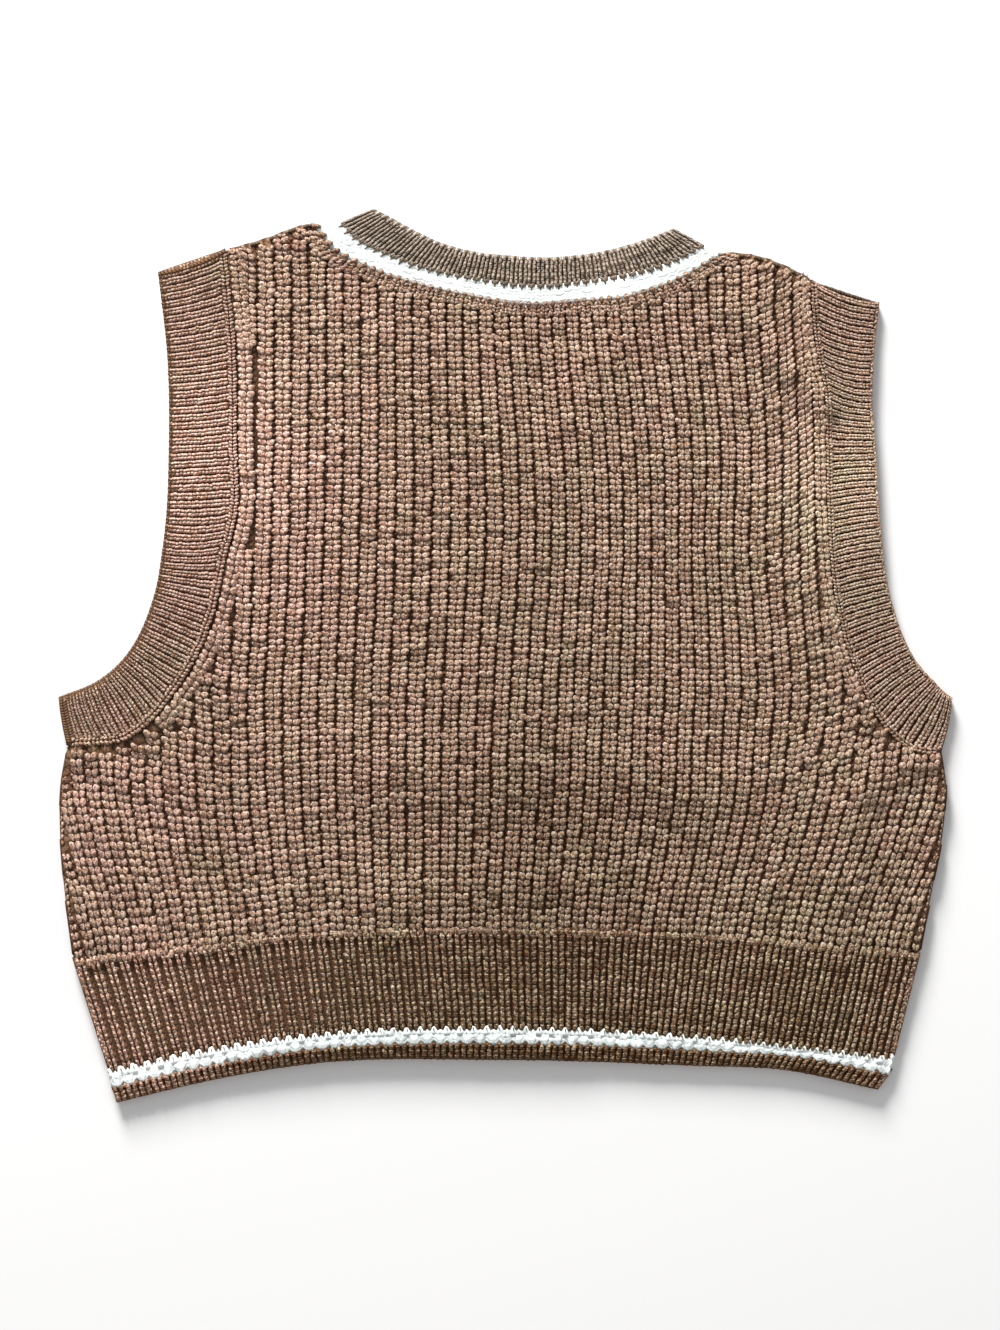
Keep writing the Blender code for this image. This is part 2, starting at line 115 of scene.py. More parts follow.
# How the vest lies: the back's inner face over the front, and soft folds as ridges from x, y to x, y
# with their half width and height. The back sinks a little into the front's V opening.
lie = {
    "rest": 3.3, "edgeRadius": 3.2, "edgeDrop": 0.5, "edgeRise": 0.45, "edgeReach": 6.0,
    "floor": 0.1, "gridReach": 236.0, "gridStep": 0.75, "neckSag": 2.9, "sagStart": 9.0,
    "sagBlend": 22.0, "waves": 26, "waveHeight": 0.42, "waveRange": (-0.2, 1.0),
    "waveSize": (22, 55), "waveLength": 1.6,
    "waveCentres": ((-200.0, -180.0), (200.0, 180.0)),
    "seamRidge": (4, 5, 0.8),
}
folds = {
    "rightShoulder": (117, 177, 161, 129, 9, 3.2),
    "chestLeft": (-110, -55, 0, -62, 18, 1.5),
    "chestRight": (52, -60, 112, -70, 16, 2),
    "waist": (-60, -122, 95, -118, 16, 1.4),
    "rightSide": (177, -62, 166, -172, 13, 2.6),
    "leftSide": (-211, -78, -207, -138, 9, 1.5),
    "leftUnderarm": (-217, -52, -177, -70, 8, 2),
    "rightUnderarm": (208, -54, 186, -68, 8, 2.1),
    "veeAbove": (-54, 176, -23, 105, 5, 0.9),
    "veeBelow": (-23, 105, 17, 49, 6, 0.9),
    "rightBand": (187, 60, 188, 150, 10, 1.2),
    "hemMiddle": (-130, -199, 30, -197, 12, 1),
    "lowerLeft": (-207, -85, -155, -142, 14, 1.2),
}


def ease(share):
    share = np.clip(share, 0.0, 1.0)
    return share * share * (3.0 - 2.0 * share)


def stepsOf(line):
    return np.linalg.norm(np.diff(line, axis=0), axis=1)


def smoothRows(table, count):
    rows = np.array(table, float)
    middle = rows.reshape(len(rows), -1, 2).mean(axis=1)
    along = np.append(0.0, np.cumsum(stepsOf(middle)))
    slope = np.gradient(rows, along, axis=0)
    places = np.linspace(0.0, along[-1], count + 1)
    i = np.clip(np.searchsorted(along, places, side="right") - 1, 0, len(along) - 2)
    span = (along[i + 1] - along[i])[:, None]
    t = (places - along[i])[:, None] / span
    start = (1.0 + 2.0 * t) * (1.0 - t) ** 2 * rows[i] + t * (1.0 - t) ** 2 * span * slope[i]
    end = t * t * (3.0 - 2.0 * t) * rows[i + 1] - t * t * (1.0 - t) * span * slope[i + 1]
    return start + end


def readRows(rows, shares):
    steps = np.asarray(shares) * (len(rows) - 1)
    return np.stack([np.interp(steps, np.arange(len(rows)), column) for column in rows.T], axis=-1)


def swell(places, centre, reach):
    # 1 at the centre, fading out round it
    return np.exp(-(((places - centre) / reach) ** 2).sum(-1))


def distanceTo(line, places, chunk=20000):
    # in chunks, because the folds are asked for at a great many places
    flat = places.reshape(-1, 2)
    start, way = line[:-1], np.diff(line, axis=0)
    squared = np.maximum((way * way).sum(-1), 1e-9)
    nearest = np.empty(len(flat))
    for i in range(0, len(flat), chunk):
        fromStart = flat[i : i + chunk, None, :] - start
        share = np.clip((fromStart * way).sum(-1) / squared, 0.0, 1.0)
        nearest[i : i + chunk] = np.linalg.norm(fromStart - share[..., None] * way, axis=-1).min(axis=-1)
    return nearest.reshape(places.shape[:-1])


def insideOf(outline, places):
    x, y = places[..., 0], places[..., 1]
    inside = np.zeros(x.shape, bool)
    for (ax, ay), (bx, by) in zip(outline, np.roll(outline, -1, axis=0)):
        if ay != by:
            crosses = (ay > y) != (by > y)
            inside ^= crosses & (x < (bx - ax) * (y - ay) / (by - ay) + ax)
    return inside


def waysOf(line):
    way = np.gradient(line, axis=0)
    return way / np.linalg.norm(way, axis=1)[:, None]


def movedLeft(line, distance):
    way = waysOf(line)
    return line + distance * np.stack([-way[:, 1], way[:, 0]], axis=1)


neckRows, frontNeckRows = (smoothRows(table, count=48) for table in (backNeck, frontNeck))
hemRows = smoothRows(hem, count=60)
armholeRows = {"left": smoothRows(leftArmhole, count=64), "right": smoothRows(rightArmhole, count=64)}
sideRows = smoothRows(sides, count=60)[::-1]
shoulderRows = {"left": smoothRows(leftShoulder, count=8), "right": smoothRows(rightShoulder, count=8)}


def foldX(y, column):
    # the left side fold is in column 0, the right one in column 2
    return np.interp(y, sideRows[:, column + 1], sideRows[:, column])


def sideLines(steps=20):
    lines = []
    for column, side, corner in ((0, "left", hem[0]), (2, "right", hem[-1])):
        y = np.linspace(armholeRows[side][-1][3], corner[1], steps)
        lines.append(np.stack([foldX(y, column), y], axis=1))
    return lines


def bodyOutline(neckLine):
    # round the body panel: up the left side, over the shoulders and the neck, down the right side
    left, right = sideLines()
    upLeft = [left[::-1], armholeRows["left"][::-1, 2:][1:], shoulderRows["left"][1:]]
    downRight = [shoulderRows["right"], armholeRows["right"][1:, 2:], right[1:]]
    return np.concatenate([*upLeft, neckLine[1:-1], *downRight, hemRows[::-1, :2][1:-1]])


def vestOutline():
    # round the whole vest, along its folds and its free edges
    left, right = sideLines()
    upLeft = [left[::-1], armholeRows["left"][::-1, :2], shoulderRows["left"]]
    downRight = [shoulderRows["right"], armholeRows["right"][:, :2], right]
    return np.concatenate([*upLeft, neckRows[:, :2], *downRight, hemRows[::-1, 6:]])


backOutline = bodyOutline(neckRows[:, 4:])
frontOutline = bodyOutline(frontNeckRows[:, 4:])
wholeOutline = vestOutline()


def insideVee(places):
    leftCorner, tip, rightCorner = (np.array(frontNeck[i][:2]) for i in (0, 3, -1))
    offset = places - tip
    reach = []
    for corner, side in ((leftCorner, 1.0), (rightCorner, -1.0)):
        way = (corner - tip) / np.linalg.norm(corner - tip)
        reach.append(side * (offset[..., 0] * way[1] - offset[..., 1] * way[0]))
    return np.minimum(*reach)


def restHeight(places):
    height = np.full(places.shape[:-1], lie["rest"])
    ridges = [(np.reshape(fold[:4], (2, 2)), *fold[4:]) for fold in folds.values()]
    inset, reach, rise = lie["seamRidge"]
    for side, inward in (("left", inset), ("right", -inset)):
        ridges.append((movedLeft(armholeRows[side][:, 2:], inward), reach, rise))
    for ridge, halfWidth, rise in ridges:
        height += rise * np.exp(-((distanceTo(ridge, places) / halfWidth) ** 2))
    waves = np.random.default_rng(4)
    for _ in range(lie["waves"]):
        centre = waves.uniform(*lie["waveCentres"])
        size = waves.uniform(*lie["waveSize"])
        rise = lie["waveHeight"] * waves.uniform(*lie["waveRange"])
        height += rise * swell(places, centre, (size, lie["waveLength"] * size))
    return height - lie["neckSag"] * ease((insideVee(places) - lie["sagStart"]) / lie["sagBlend"])


# The cloth's height and edge distance on a fine grid, read between its points
gridLine = np.arange(-lie["gridReach"], lie["gridReach"] + lie["gridStep"], lie["gridStep"])
gridPlaces = np.stack(np.meshgrid(gridLine, gridLine), axis=-1)
edgeGrid = distanceTo(np.append(wholeOutline, wholeOutline[:1], axis=0), gridPlaces)
edgeGrid = np.where(insideOf(wholeOutline, gridPlaces), edgeGrid, 0.0)
restGrid = restHeight(gridPlaces)
print("lie: height grid", restGrid.shape)


def readGrid(grid, places):
    steps = np.clip((places - gridLine[0]) / lie["gridStep"], 0, len(gridLine) - 1.001)
    cell = steps.astype(int)
    (i, j), (u, v) = np.moveaxis(cell, -1, 0), np.moveaxis(steps - cell, -1, 0)
    low = grid[j, i] * (1 - u) + grid[j, i + 1] * u
    high = grid[j + 1, i] * (1 - u) + grid[j + 1, i + 1] * u
    return low * (1 - v) + high * v


def edgeFall(places):
    # 0 on the flat, rounding down to 1 at the folds and free edges
    out = 1.0 - np.clip(readGrid(edgeGrid, places) / lie["edgeRadius"], 0.0, 1.0)
    return 1.0 - np.sqrt(np.maximum(1.0 - out * out, 0.0))


def clothTop(places, wall):
    # the back's outer face
    return readGrid(restGrid, places) + wall * (1.0 - lie["edgeDrop"] * edgeFall(places))


def clothNormal(places, wall):
    steps = ((1.0, 0.0), (0.0, 1.0))
    x, y = ((clothTop(places + step, wall) - clothTop(places - step, wall)) / 2 for step in steps)
    normal = np.stack([-x, -y, np.ones_like(x)], axis=-1)
    return normal / np.linalg.norm(normal, axis=-1)[..., None]


def onCloth(plan, wall):
    # the ground that stitches stand on: its points, and how far they rise from it, less at the edges
    def ground(across, along):
        places = plan(across, along)
        points = np.concatenate([places, clothTop(places, wall)[..., None]], axis=-1)
        rise = lie["edgeRise"] + (1.0 - lie["edgeRise"]) * ease(readGrid(edgeGrid, places) / lie["edgeReach"])
        return points, clothNormal(places, wall) * rise[..., None]

    return ground


def onFold(line, inward, courses, shape):
    # the ground round a fold: one wale that faces outwards, with its courses along the line
    middle = movedLeft(line, inward * shape["inset"])
    outward = (line - middle) / shape["inset"]

    def ground(across, along):
        shares = np.clip(along / courses, 0.0, 1.0)
        centre, out = readRows(middle, shares), readRows(outward, shares)
        turn = (0.5 - across) * shape["turn"] * inward
        normal = np.concatenate([out * np.cos(turn)[..., None], np.sin(turn)[..., None]], axis=-1)
        centre = np.concatenate([centre, np.full_like(centre[..., :1], shape["level"])], axis=-1)
        return centre + shape["radius"] * normal, normal

    return ground


# Yarn and cloth looks. Painted shade and light: the grooves are painted darkest, and the tops of the stitches
# lightest. Under stitches the cloth is painted darker, as shade, than where it shows by itself. The neck's
# rib is a duller brown.
mattYarn = {"sheen": 0.0, "roughness": 0.95, "paintedDepthShade": 1.0, "plain": 0.9}
yarns = {
    "brown": {
        **mattYarn, "gap": (0.07, 0.036, 0.021), "dark": (0.08, 0.022, 0.005),
        "middle": (0.22, 0.124, 0.078), "light": (0.44, 0.342, 0.28), "pink": (1.055, 0.952, 0.965),
        "olive": (0.915, 1.045, 0.9), "bump": 0.5, "under": 0.5,
    },
    "dull": {
        **mattYarn, "gap": (0.09, 0.058, 0.036), "dark": (0.10, 0.066, 0.042),
        "middle": (0.20, 0.155, 0.118), "light": (0.315, 0.262, 0.214), "pink": (1, 1, 1),
        "olive": (0.98, 1, 0.97), "bump": 0.4, "under": 0.15,
    },
    "cream": {
        "gap": (0.66, 0.72, 0.69), "dark": (0.66, 0.72, 0.69), "middle": (0.78, 0.83, 0.81),
        "light": (0.83, 0.88, 0.86), "pink": (1, 1, 1), "olive": (0.98, 1, 1), "sheen": 0.05,
        "roughness": 0.92, "bump": 0.15, "paintedDepthShade": 1.3, "under": 1.0, "plain": 1.0,
    },
}
# how much single stitches differ in tone, and their hue, from pink at 0 to olive at 1
dye = {"toneSpread": 0.11, "hue": 0.34, "broadHue": 0.6, "hueRange": (-0.1, 1.2)}
# fibre: its noises as scale, detail, roughness, and how strongly its grain breaks up each shade
fibre = {
    "patches": (55, 2, 0.5), "specks": (1000, 2, 0.75), "fibres": (1800, 1, 0.5), "toneLift": 0.6,
    "twistLift": 0.25, "middle": (6, 1.6), "light": (17, 1), "lightStart": -0.55, "patchHue": 1.2,
    "toneShade": 0.7, "turns": 2.6, "relief": 1.6, "specular": 0.04,
}
bumpDistances = {"stitches": 0.00035, "under": 0.0012, "plain": 0.0012}
# stitches of plain cloth, which are only relief: their slant, their grooves and the purls in them
plainRelief = {
    "slope": 1.2, "groovePower": 4, "middleSlope": 8, "middleBlend": 0.3, "purlPower": 6,
    "purl": 0.45,
}
# broad places in the brown, with painted light and shade and a hue shift: x, y, reach, how much lighter
# (painted light, or painted shade where below 0), how much more olive than pink
paintedLightAndHue = (
    (-170, 110, 60, 0.88, -0.8),
    (-200, -85, 34, 0.2, -0.5),
    (185, 90, 45, 0.62, 0.3),
    (130, 40, 70, 0, 0.35),
    (-120, 60, 60, 0.12, -0.6),
    (10, 60, 60, -0.1, 0.15),
    (170, -120, 50, -0.12, 0.5),
    (-185, -190, 40, 0.35, -0.4),
    (-60, -205, 65, -0.12, 1.1),
    (40, -205, 65, -0.12, 1.1),
    (140, -200, 60, -0.12, 1.1),
    (20, -95, 75, -0.33, 0.2),
    (90, -85, 22, -0.15, 0.3),
    (-155, -100, 16, -0.2, 0),
    (20, -72, 14, -0.15, 0),
    (-55, -80, 14, -0.15, 0),
)


def newGroup(name, inputs, outputs):
    group = bpy.data.node_groups.new(name, "ShaderNodeTree")
    for label, kind, value in inputs:
        socket = group.interface.new_socket(label, in_out="INPUT", socket_type=kind)
        if value is not None:
            socket.default_value = value
    for label, kind in outputs:
        group.interface.new_socket(label, in_out="OUTPUT", socket_type=kind)
    return group, group.nodes.new("NodeGroupInput"), group.nodes.new("NodeGroupOutput")


def feed(tree, socket, value):
    if isinstance(value, (int, float, tuple)):
        socket.default_value = value
    else:
        tree.links.new(value, socket)


def maths(tree, operation, *values):
    node = tree.nodes.new("ShaderNodeMath")
    node.operation = operation
    for socket, value in zip(node.inputs, values):
        feed(tree, socket, value)
    return node.outputs[0]


def mixed(tree, share, first, second, blend="MIX"):
    node = tree.nodes.new("ShaderNodeMix")
    node.data_type = "RGBA"
    node.blend_type = blend
    for i, value in ((0, share), (6, first), (7, second)):
        feed(tree, node.inputs[i], value)
    return node.outputs[2]


def noise(tree, vector, scale, detail, roughness):
    node = tree.nodes.new("ShaderNodeTexNoise")
    node.inputs["Scale"].default_value = scale
    node.inputs["Detail"].default_value = detail
    node.inputs["Roughness"].default_value = roughness
    tree.links.new(vector, node.inputs["Vector"])
    return node.outputs["Fac"]


def splitUV(group, given):
    parts = group.nodes.new("ShaderNodeSeparateXYZ")
    group.links.new(given.outputs["UV"], parts.inputs[0])
    return parts.outputs["X"], parts.outputs["Y"]


def plyTwistGroup():
    # the turns of the plies along a length of yarn: UV is along and round it
    group, given, made = newGroup(
        "plyTwist",
        [("UV", "NodeSocketVector", None), ("Turns", "NodeSocketFloat", 3.0)],
        [("Height", "NodeSocketFloat")],
    )
    calc = partial(maths, group)
    x, y = splitUV(group, given)
    along = calc("MULTIPLY", x, given.outputs["Turns"])
    turn = calc("MULTIPLY", calc("ADD", along, y), 2 * math.pi)
    height = calc("MULTIPLY_ADD", calc("SINE", turn), 0.5, 0.5)
    group.links.new(height, made.inputs["Height"])
    return group


def heatherGroup():
    # uneven dyed fibre: broad patches, single stitches lighter or darker, and fine specks. Tone also carries
    # painted light and shade, and the depth input painted shade: darker low in the yarn and cloth, lighter on
    # top and on ply ridges
    group, given, made = newGroup(
        "heather",
        [
            ("Vector", "NodeSocketVector", None),
            *[(label, "NodeSocketFloat", 0.5) for label in ("Tone", "Hue", "Depth", "Twist")],
            *[(label, "NodeSocketColor", None) for label in ("Dark", "Middle", "Light", "Pink", "Olive")],
        ],
        [("Color", "NodeSocketColor"), ("Height", "NodeSocketFloat")],
    )
    calc = partial(maths, group)
    vector = given.outputs["Vector"]
    patches = noise(group, vector, *fibre["patches"])
    specks = noise(group, vector, *fibre["specks"])
    fibres = noise(group, vector, *fibre["fibres"])
    grain = calc("SUBTRACT", specks, 0.5)
    tone = calc("SUBTRACT", given.outputs["Tone"], 0.5)
    # painted shade and light: colour lighter where the yarn or relief stands high, darker where it lies low
    lift = calc("MULTIPLY_ADD", tone, fibre["toneLift"], given.outputs["Depth"])
    twist = calc("SUBTRACT", given.outputs["Twist"], 0.5)
    lift = calc("MULTIPLY_ADD", twist, fibre["twistLift"], lift)
    share = calc("MULTIPLY", calc("MULTIPLY_ADD", grain, *fibre["middle"]), lift)
    low = mixed(group, share, given.outputs["Dark"], given.outputs["Middle"])
    share = calc("MULTIPLY_ADD", grain, *fibre["light"])
    share = calc("MULTIPLY_ADD", share, lift, fibre["lightStart"])
    colour = mixed(group, share, low, given.outputs["Light"])
    hue = calc("SUBTRACT", patches, 0.5)
    hue = calc("MULTIPLY_ADD", hue, fibre["patchHue"], given.outputs["Hue"])
    tint = mixed(group, hue, given.outputs["Pink"], given.outputs["Olive"])
    shade = calc("MULTIPLY_ADD", tone, fibre["toneShade"], 1.0)
    colour = mixed(group, 1.0, colour, shade, "MULTIPLY")
    group.links.new(mixed(group, 1.0, colour, tint, "MULTIPLY"), made.inputs["Color"])
    height = calc("MULTIPLY_ADD", fibres, 0.5, calc("MULTIPLY", specks, 0.5))
    group.links.new(height, made.inputs["Height"])
    return group


def knitReliefGroup():
    # rows of V stitches with a small purl bump in the groove between them: UV counts wales and courses
    group, given, made = newGroup(
        "knitRelief",
        [("UV", "NodeSocketVector", None), ("Slope", "NodeSocketFloat", plainRelief["slope"])],
        [("Height", "NodeSocketFloat")],
    )
    calc = partial(maths, group)
    x, y = splitUV(group, given)
    across = calc("ABSOLUTE", calc("SUBTRACT", calc("FRACT", x), 0.5))
    slanted = calc("SUBTRACT", y, calc("MULTIPLY", across, given.outputs["Slope"]))

    def hump(value):
        return calc("SINE", calc("MULTIPLY", calc("FRACT", value), math.pi))

    def nearGroove(power):
        return calc("POWER", calc("MULTIPLY", across, 2.0), power)

    yarn = hump(slanted)
    groove = calc("SUBTRACT", 1.0, nearGroove(plainRelief["groovePower"]))
    middle = calc("MULTIPLY", across, plainRelief["middleSlope"])
    middle = calc("SMOOTH_MIN", middle, 1.0, plainRelief["middleBlend"])
    legs = calc("MULTIPLY", calc("MULTIPLY", yarn, groove), middle)
    purl = calc("MULTIPLY", hump(y), nearGroove(plainRelief["purlPower"]))
    height = calc("MULTIPLY_ADD", purl, plainRelief["purl"], legs)
    group.links.new(height, made.inputs["Height"])
    return group


groups = {"plyTwist": plyTwistGroup(), "heather": heatherGroup(), "knitRelief": knitReliefGroup()}


def placeGroup(material, name, **values):
    node = material.node_tree.nodes.new("ShaderNodeGroup")
    node.node_tree = groups[name]
    for label, value in values.items():
        feed(material.node_tree, node.inputs[label], value)
    return node


def knitMaterial(name, yarn, kind):
    # kind is stitches, for modelled ones, or the cloth under them, or plain cloth with its own relief
    look = yarns[yarn]
    material = bpy.data.materials.new(name)
    material.use_nodes = True
    tree = material.node_tree
    shader = tree.nodes["Principled BSDF"]
    coordinates = tree.nodes.new("ShaderNodeTexCoord")
    if kind == "stitches":
        attribute = tree.nodes.new("ShaderNodeAttribute")
        attribute.attribute_name = "stitch"
        parts = tree.nodes.new("ShaderNodeSeparateColor")
        tree.links.new(attribute.outputs["Color"], parts.inputs[0])
        tone, hue = parts.outputs[0], parts.outputs[2]
        # painted shade: darker where the yarn lies low, from the stitch attribute
        paintedDepthShade = maths(tree, "MULTIPLY", parts.outputs[1], look["paintedDepthShade"])
        relief = placeGroup(material, "plyTwist", UV=coordinates.outputs["UV"], Turns=fibre["turns"])
    else:
        relief = placeGroup(material, "knitRelief", UV=coordinates.outputs["UV"])
        tone, hue = 0.5, 0.5
        # painted shade: darker in the relief's grooves
        paintedDepthShade = maths(tree, "MULTIPLY", relief.outputs["Height"], look[kind])
    # painted shade: cloth under stitches only goes from the gap colour to the middle
    shades = ("gap", "middle", "middle") if kind == "under" else ("dark", "middle", "light")
    labels = zip(("Dark", "Middle", "Light", "Pink", "Olive"), (*shades, "pink", "olive"))
    colours = {label: (*look[shade], 1.0) for label, shade in labels}
    given = {"Tone": tone, "Hue": hue, "Depth": paintedDepthShade, "Twist": relief.outputs["Height"]}
    heather = placeGroup(material, "heather", Vector=coordinates.outputs["Object"], **given, **colours)
    bump = tree.nodes.new("ShaderNodeBump")
    bump.inputs["Strength"].default_value = look["bump"]
    bump.inputs["Distance"].default_value = bumpDistances[kind]
    height = maths(tree, "MULTIPLY_ADD", heather.outputs["Height"], fibre["relief"], relief.outputs["Height"])
    tree.links.new(height, bump.inputs["Height"])
    tree.links.new(heather.outputs["Color"], shader.inputs["Base Color"])
    tree.links.new(bump.outputs["Normal"], shader.inputs["Normal"])
    shader.inputs["Roughness"].default_value = look["roughness"]
    shader.inputs["Sheen Weight"].default_value = look["sheen"]
    shader.inputs["Specular IOR Level"].default_value = fibre["specular"]
    return material


finishes = {
    (yarn, kind): knitMaterial(f"{yarn}{kind.title()}", yarn, kind)
    for yarn in yarns
    for kind in ("stitches", "under", "plain")
}
print("materials:", len(finishes))


def clearSelection():
    if bpy.context.mode != "OBJECT":
        bpy.ops.object.mode_set(mode="OBJECT")
    bpy.ops.object.select_all(action="DESELECT")


def addObject(name, data):
    added = bpy.data.objects.new(name, data)
    bpy.context.scene.collection.objects.link(added)
    return added


def finishPiece(piece, yarn, kind):
    piece.data.materials.clear()
    piece.data.materials.append(finishes[yarn, kind])
    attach(piece, "root")


def meshPoints(mesh):
    points = np.empty(len(mesh.vertices) * 3)
    mesh.vertices.foreach_get("co", points)
    return points.reshape(-1, 3)


def faceOutside(weld=None):
    # the active object's faces are turned outwards, after its close points are welded
    bpy.ops.object.mode_set(mode="EDIT")
    bpy.ops.mesh.select_all(action="SELECT")
    if weld:
        bpy.ops.mesh.remove_doubles(threshold=weld)
    bpy.ops.mesh.normals_make_consistent(inside=False)
    bpy.ops.object.mode_set(mode="OBJECT")


def clothShell(name, plan, top, uv, thickness, yarn, kind, keep=None):
    # a sheet of cloth: a grid laid over its plan at its outer height, then given its thickness
    rows, columns = top.shape
    clearSelection()
    bpy.ops.mesh.primitive_grid_add(x_subdivisions=columns - 1, y_subdivisions=rows - 1, size=1)
    sheet = bpy.context.object
    sheet.name = name
    sheet.data.name = name
    points = meshPoints(sheet.data)
    column = np.rint((points[:, 0] + 0.5) * (columns - 1)).astype(int)
    row = np.rint((points[:, 1] + 0.5) * (rows - 1)).astype(int)
    placed = np.concatenate([plan[row, column], top[row, column][:, None]], axis=1) * mm
    sheet.data.vertices.foreach_set("co", placed.ravel())
    corners = np.empty(len(sheet.data.loops), int)
    sheet.data.loops.foreach_get("vertex_index", corners)
    layer = sheet.data.uv_layers[0]
    layer.name = "wales"
    layer.data.foreach_set("uv", uv[row, column][corners].ravel())
    if keep is not None:
        trimToOutline(sheet, keep)
    thicken = sheet.modifiers.new("thickness", "SOLIDIFY")
    thicken.thickness = thickness * mm
    thicken.offset = -1.0
    bpy.ops.object.modifier_apply(modifier=thicken.name)
    # flat where it rests
    for vert in sheet.data.vertices:
        vert.co.z = max(vert.co.z, lie["floor"] * mm)
    faceOutside()
    bpy.ops.object.shade_smooth()
    finishPiece(sheet, yarn, kind)
    return sheet


def trimToOutline(sheet, outline):
    # faces outside the outline are deleted, and the new border is drawn onto it
    bm = bmesh.new()
    bm.from_mesh(sheet.data)
    places = np.array([vert.co[:2] for vert in bm.verts]) / mm
    inside = insideOf(outline, places)
    outside = [face for face in bm.faces if not all(inside[vert.index] for vert in face.verts)]
    bmesh.ops.delete(bm, geom=outside, context="FACES")
    bmesh.ops.delete(bm, geom=[vert for vert in bm.verts if not vert.link_faces], context="VERTS")
    closed = np.append(outline, outline[:1], axis=0)
    start, way = closed[:-1], np.diff(closed, axis=0)
    for vert in bm.verts:
        if vert.is_boundary:
            fromStart = np.array(vert.co[:2]) / mm - start
            share = np.clip((fromStart * way).sum(-1) / np.maximum((way * way).sum(-1), 1e-9), 0, 1)
            onto = start + share[:, None] * way
            nearest = onto[np.linalg.norm(onto - np.array(vert.co[:2]) / mm, axis=1).argmin()]
            vert.co.x, vert.co.y = nearest * mm
    bm.to_mesh(sheet.data)
    bm.free()


def modelYarn(name, path, roundness):
    # a short length of yarn: a curve with a bevel, welded into a mesh
    clearSelection()
    bpy.ops.curve.primitive_nurbs_path_add()
    curve = bpy.context.object
    curve.name = name
    curve.data.splines.clear()
    spline = curve.data.splines.new("POLY")
    spline.points.add(len(path) - 1)
    for point, (x, y, z, radius) in zip(spline.points, path):
        point.co = (x, y, z, 1.0)
        point.radius = radius
    curve.data.bevel_depth = 1.0
    curve.data.bevel_resolution = roundness
    curve.data.use_fill_caps = True
    curve.data.twist_mode = "Z_UP"
    bpy.ops.object.convert(target="MESH")
    faceOutside(weld=0.001)
    return bpy.context.object


def stitchTemplate(name, shape):
    # the legs of a stitch, as plain arrays: the second leg mirrors the first
    piece = modelYarn(name, shape["path"], shape.get("roundness", 1))
    points = meshPoints(piece.data)
    faces = [list(face.vertices) for face in piece.data.polygons]
    path = np.array(shape["path"])
    onPath = np.linalg.norm(points[:, None, :] - path[None, :, :3], axis=2).argmin(axis=1)
    along = onPath / (len(path) - 1)
    turn = np.arctan2(points[:, 2] - path[onPath, 2], points[:, 1] - path[onPath, 1]) / (2 * math.pi)
    bpy.data.objects.remove(piece)
    # painted shade: the colour follows the height of the yarn more than that of its own rounding, darker
    # lower down
    level = path[onPath, 2] + shape.get("round", 0.5) * (points[:, 2] - path[onPath, 2])
    sides = (1.0,) if shape.get("single") else (1.0, -1.0)
    count = len(points)
    allFaces = []
    for i, side in enumerate(sides):
        allFaces += [[index + i * count for index in face[:: int(side)]] for face in faces]
    points = np.concatenate([points * (side, 1.0, shape.get("flat", 1.0)) for side in sides])
    # painted shade from darkest low in the yarn to lightest at its top
    darkest, lightest = shape.get("shade", (0.0, 1.0))
    paintedDepthShade = darkest + (lightest - darkest) * np.clip(level / level.max(), 0.0, 1.0)
    return {
        "points": points, "faces": allFaces,
        "yarnUV": np.concatenate([np.stack([along, turn], 1)] * len(sides)),
        "paintedDepthShade": np.tile(paintedDepthShade, len(sides)),
        "pitch": shape["pitch"],
        "course": shape["course"],
    }


def paintedLightAndHueAt(places):
    # painted light and shade at each place, how much lighter it is, and how much more olive
    more = np.zeros((len(places), 2))
    for x, y, reach, light, olive in paintedLightAndHue:
        more += swell(places, (x, y), reach)[:, None] * (light, olive)
    return more


def faceOutwards(mesh):
    mesh.calc_loop_triangles()
    corners = np.empty(len(mesh.loop_triangles) * 3, int)
    mesh.loop_triangles.foreach_get("vertices", corners)
    first, second, third = meshPoints(mesh)[corners.reshape(-1, 3)].transpose(1, 0, 2)
    if (first * np.cross(second, third)).sum() < 0.0:
        mesh.flip_normals()


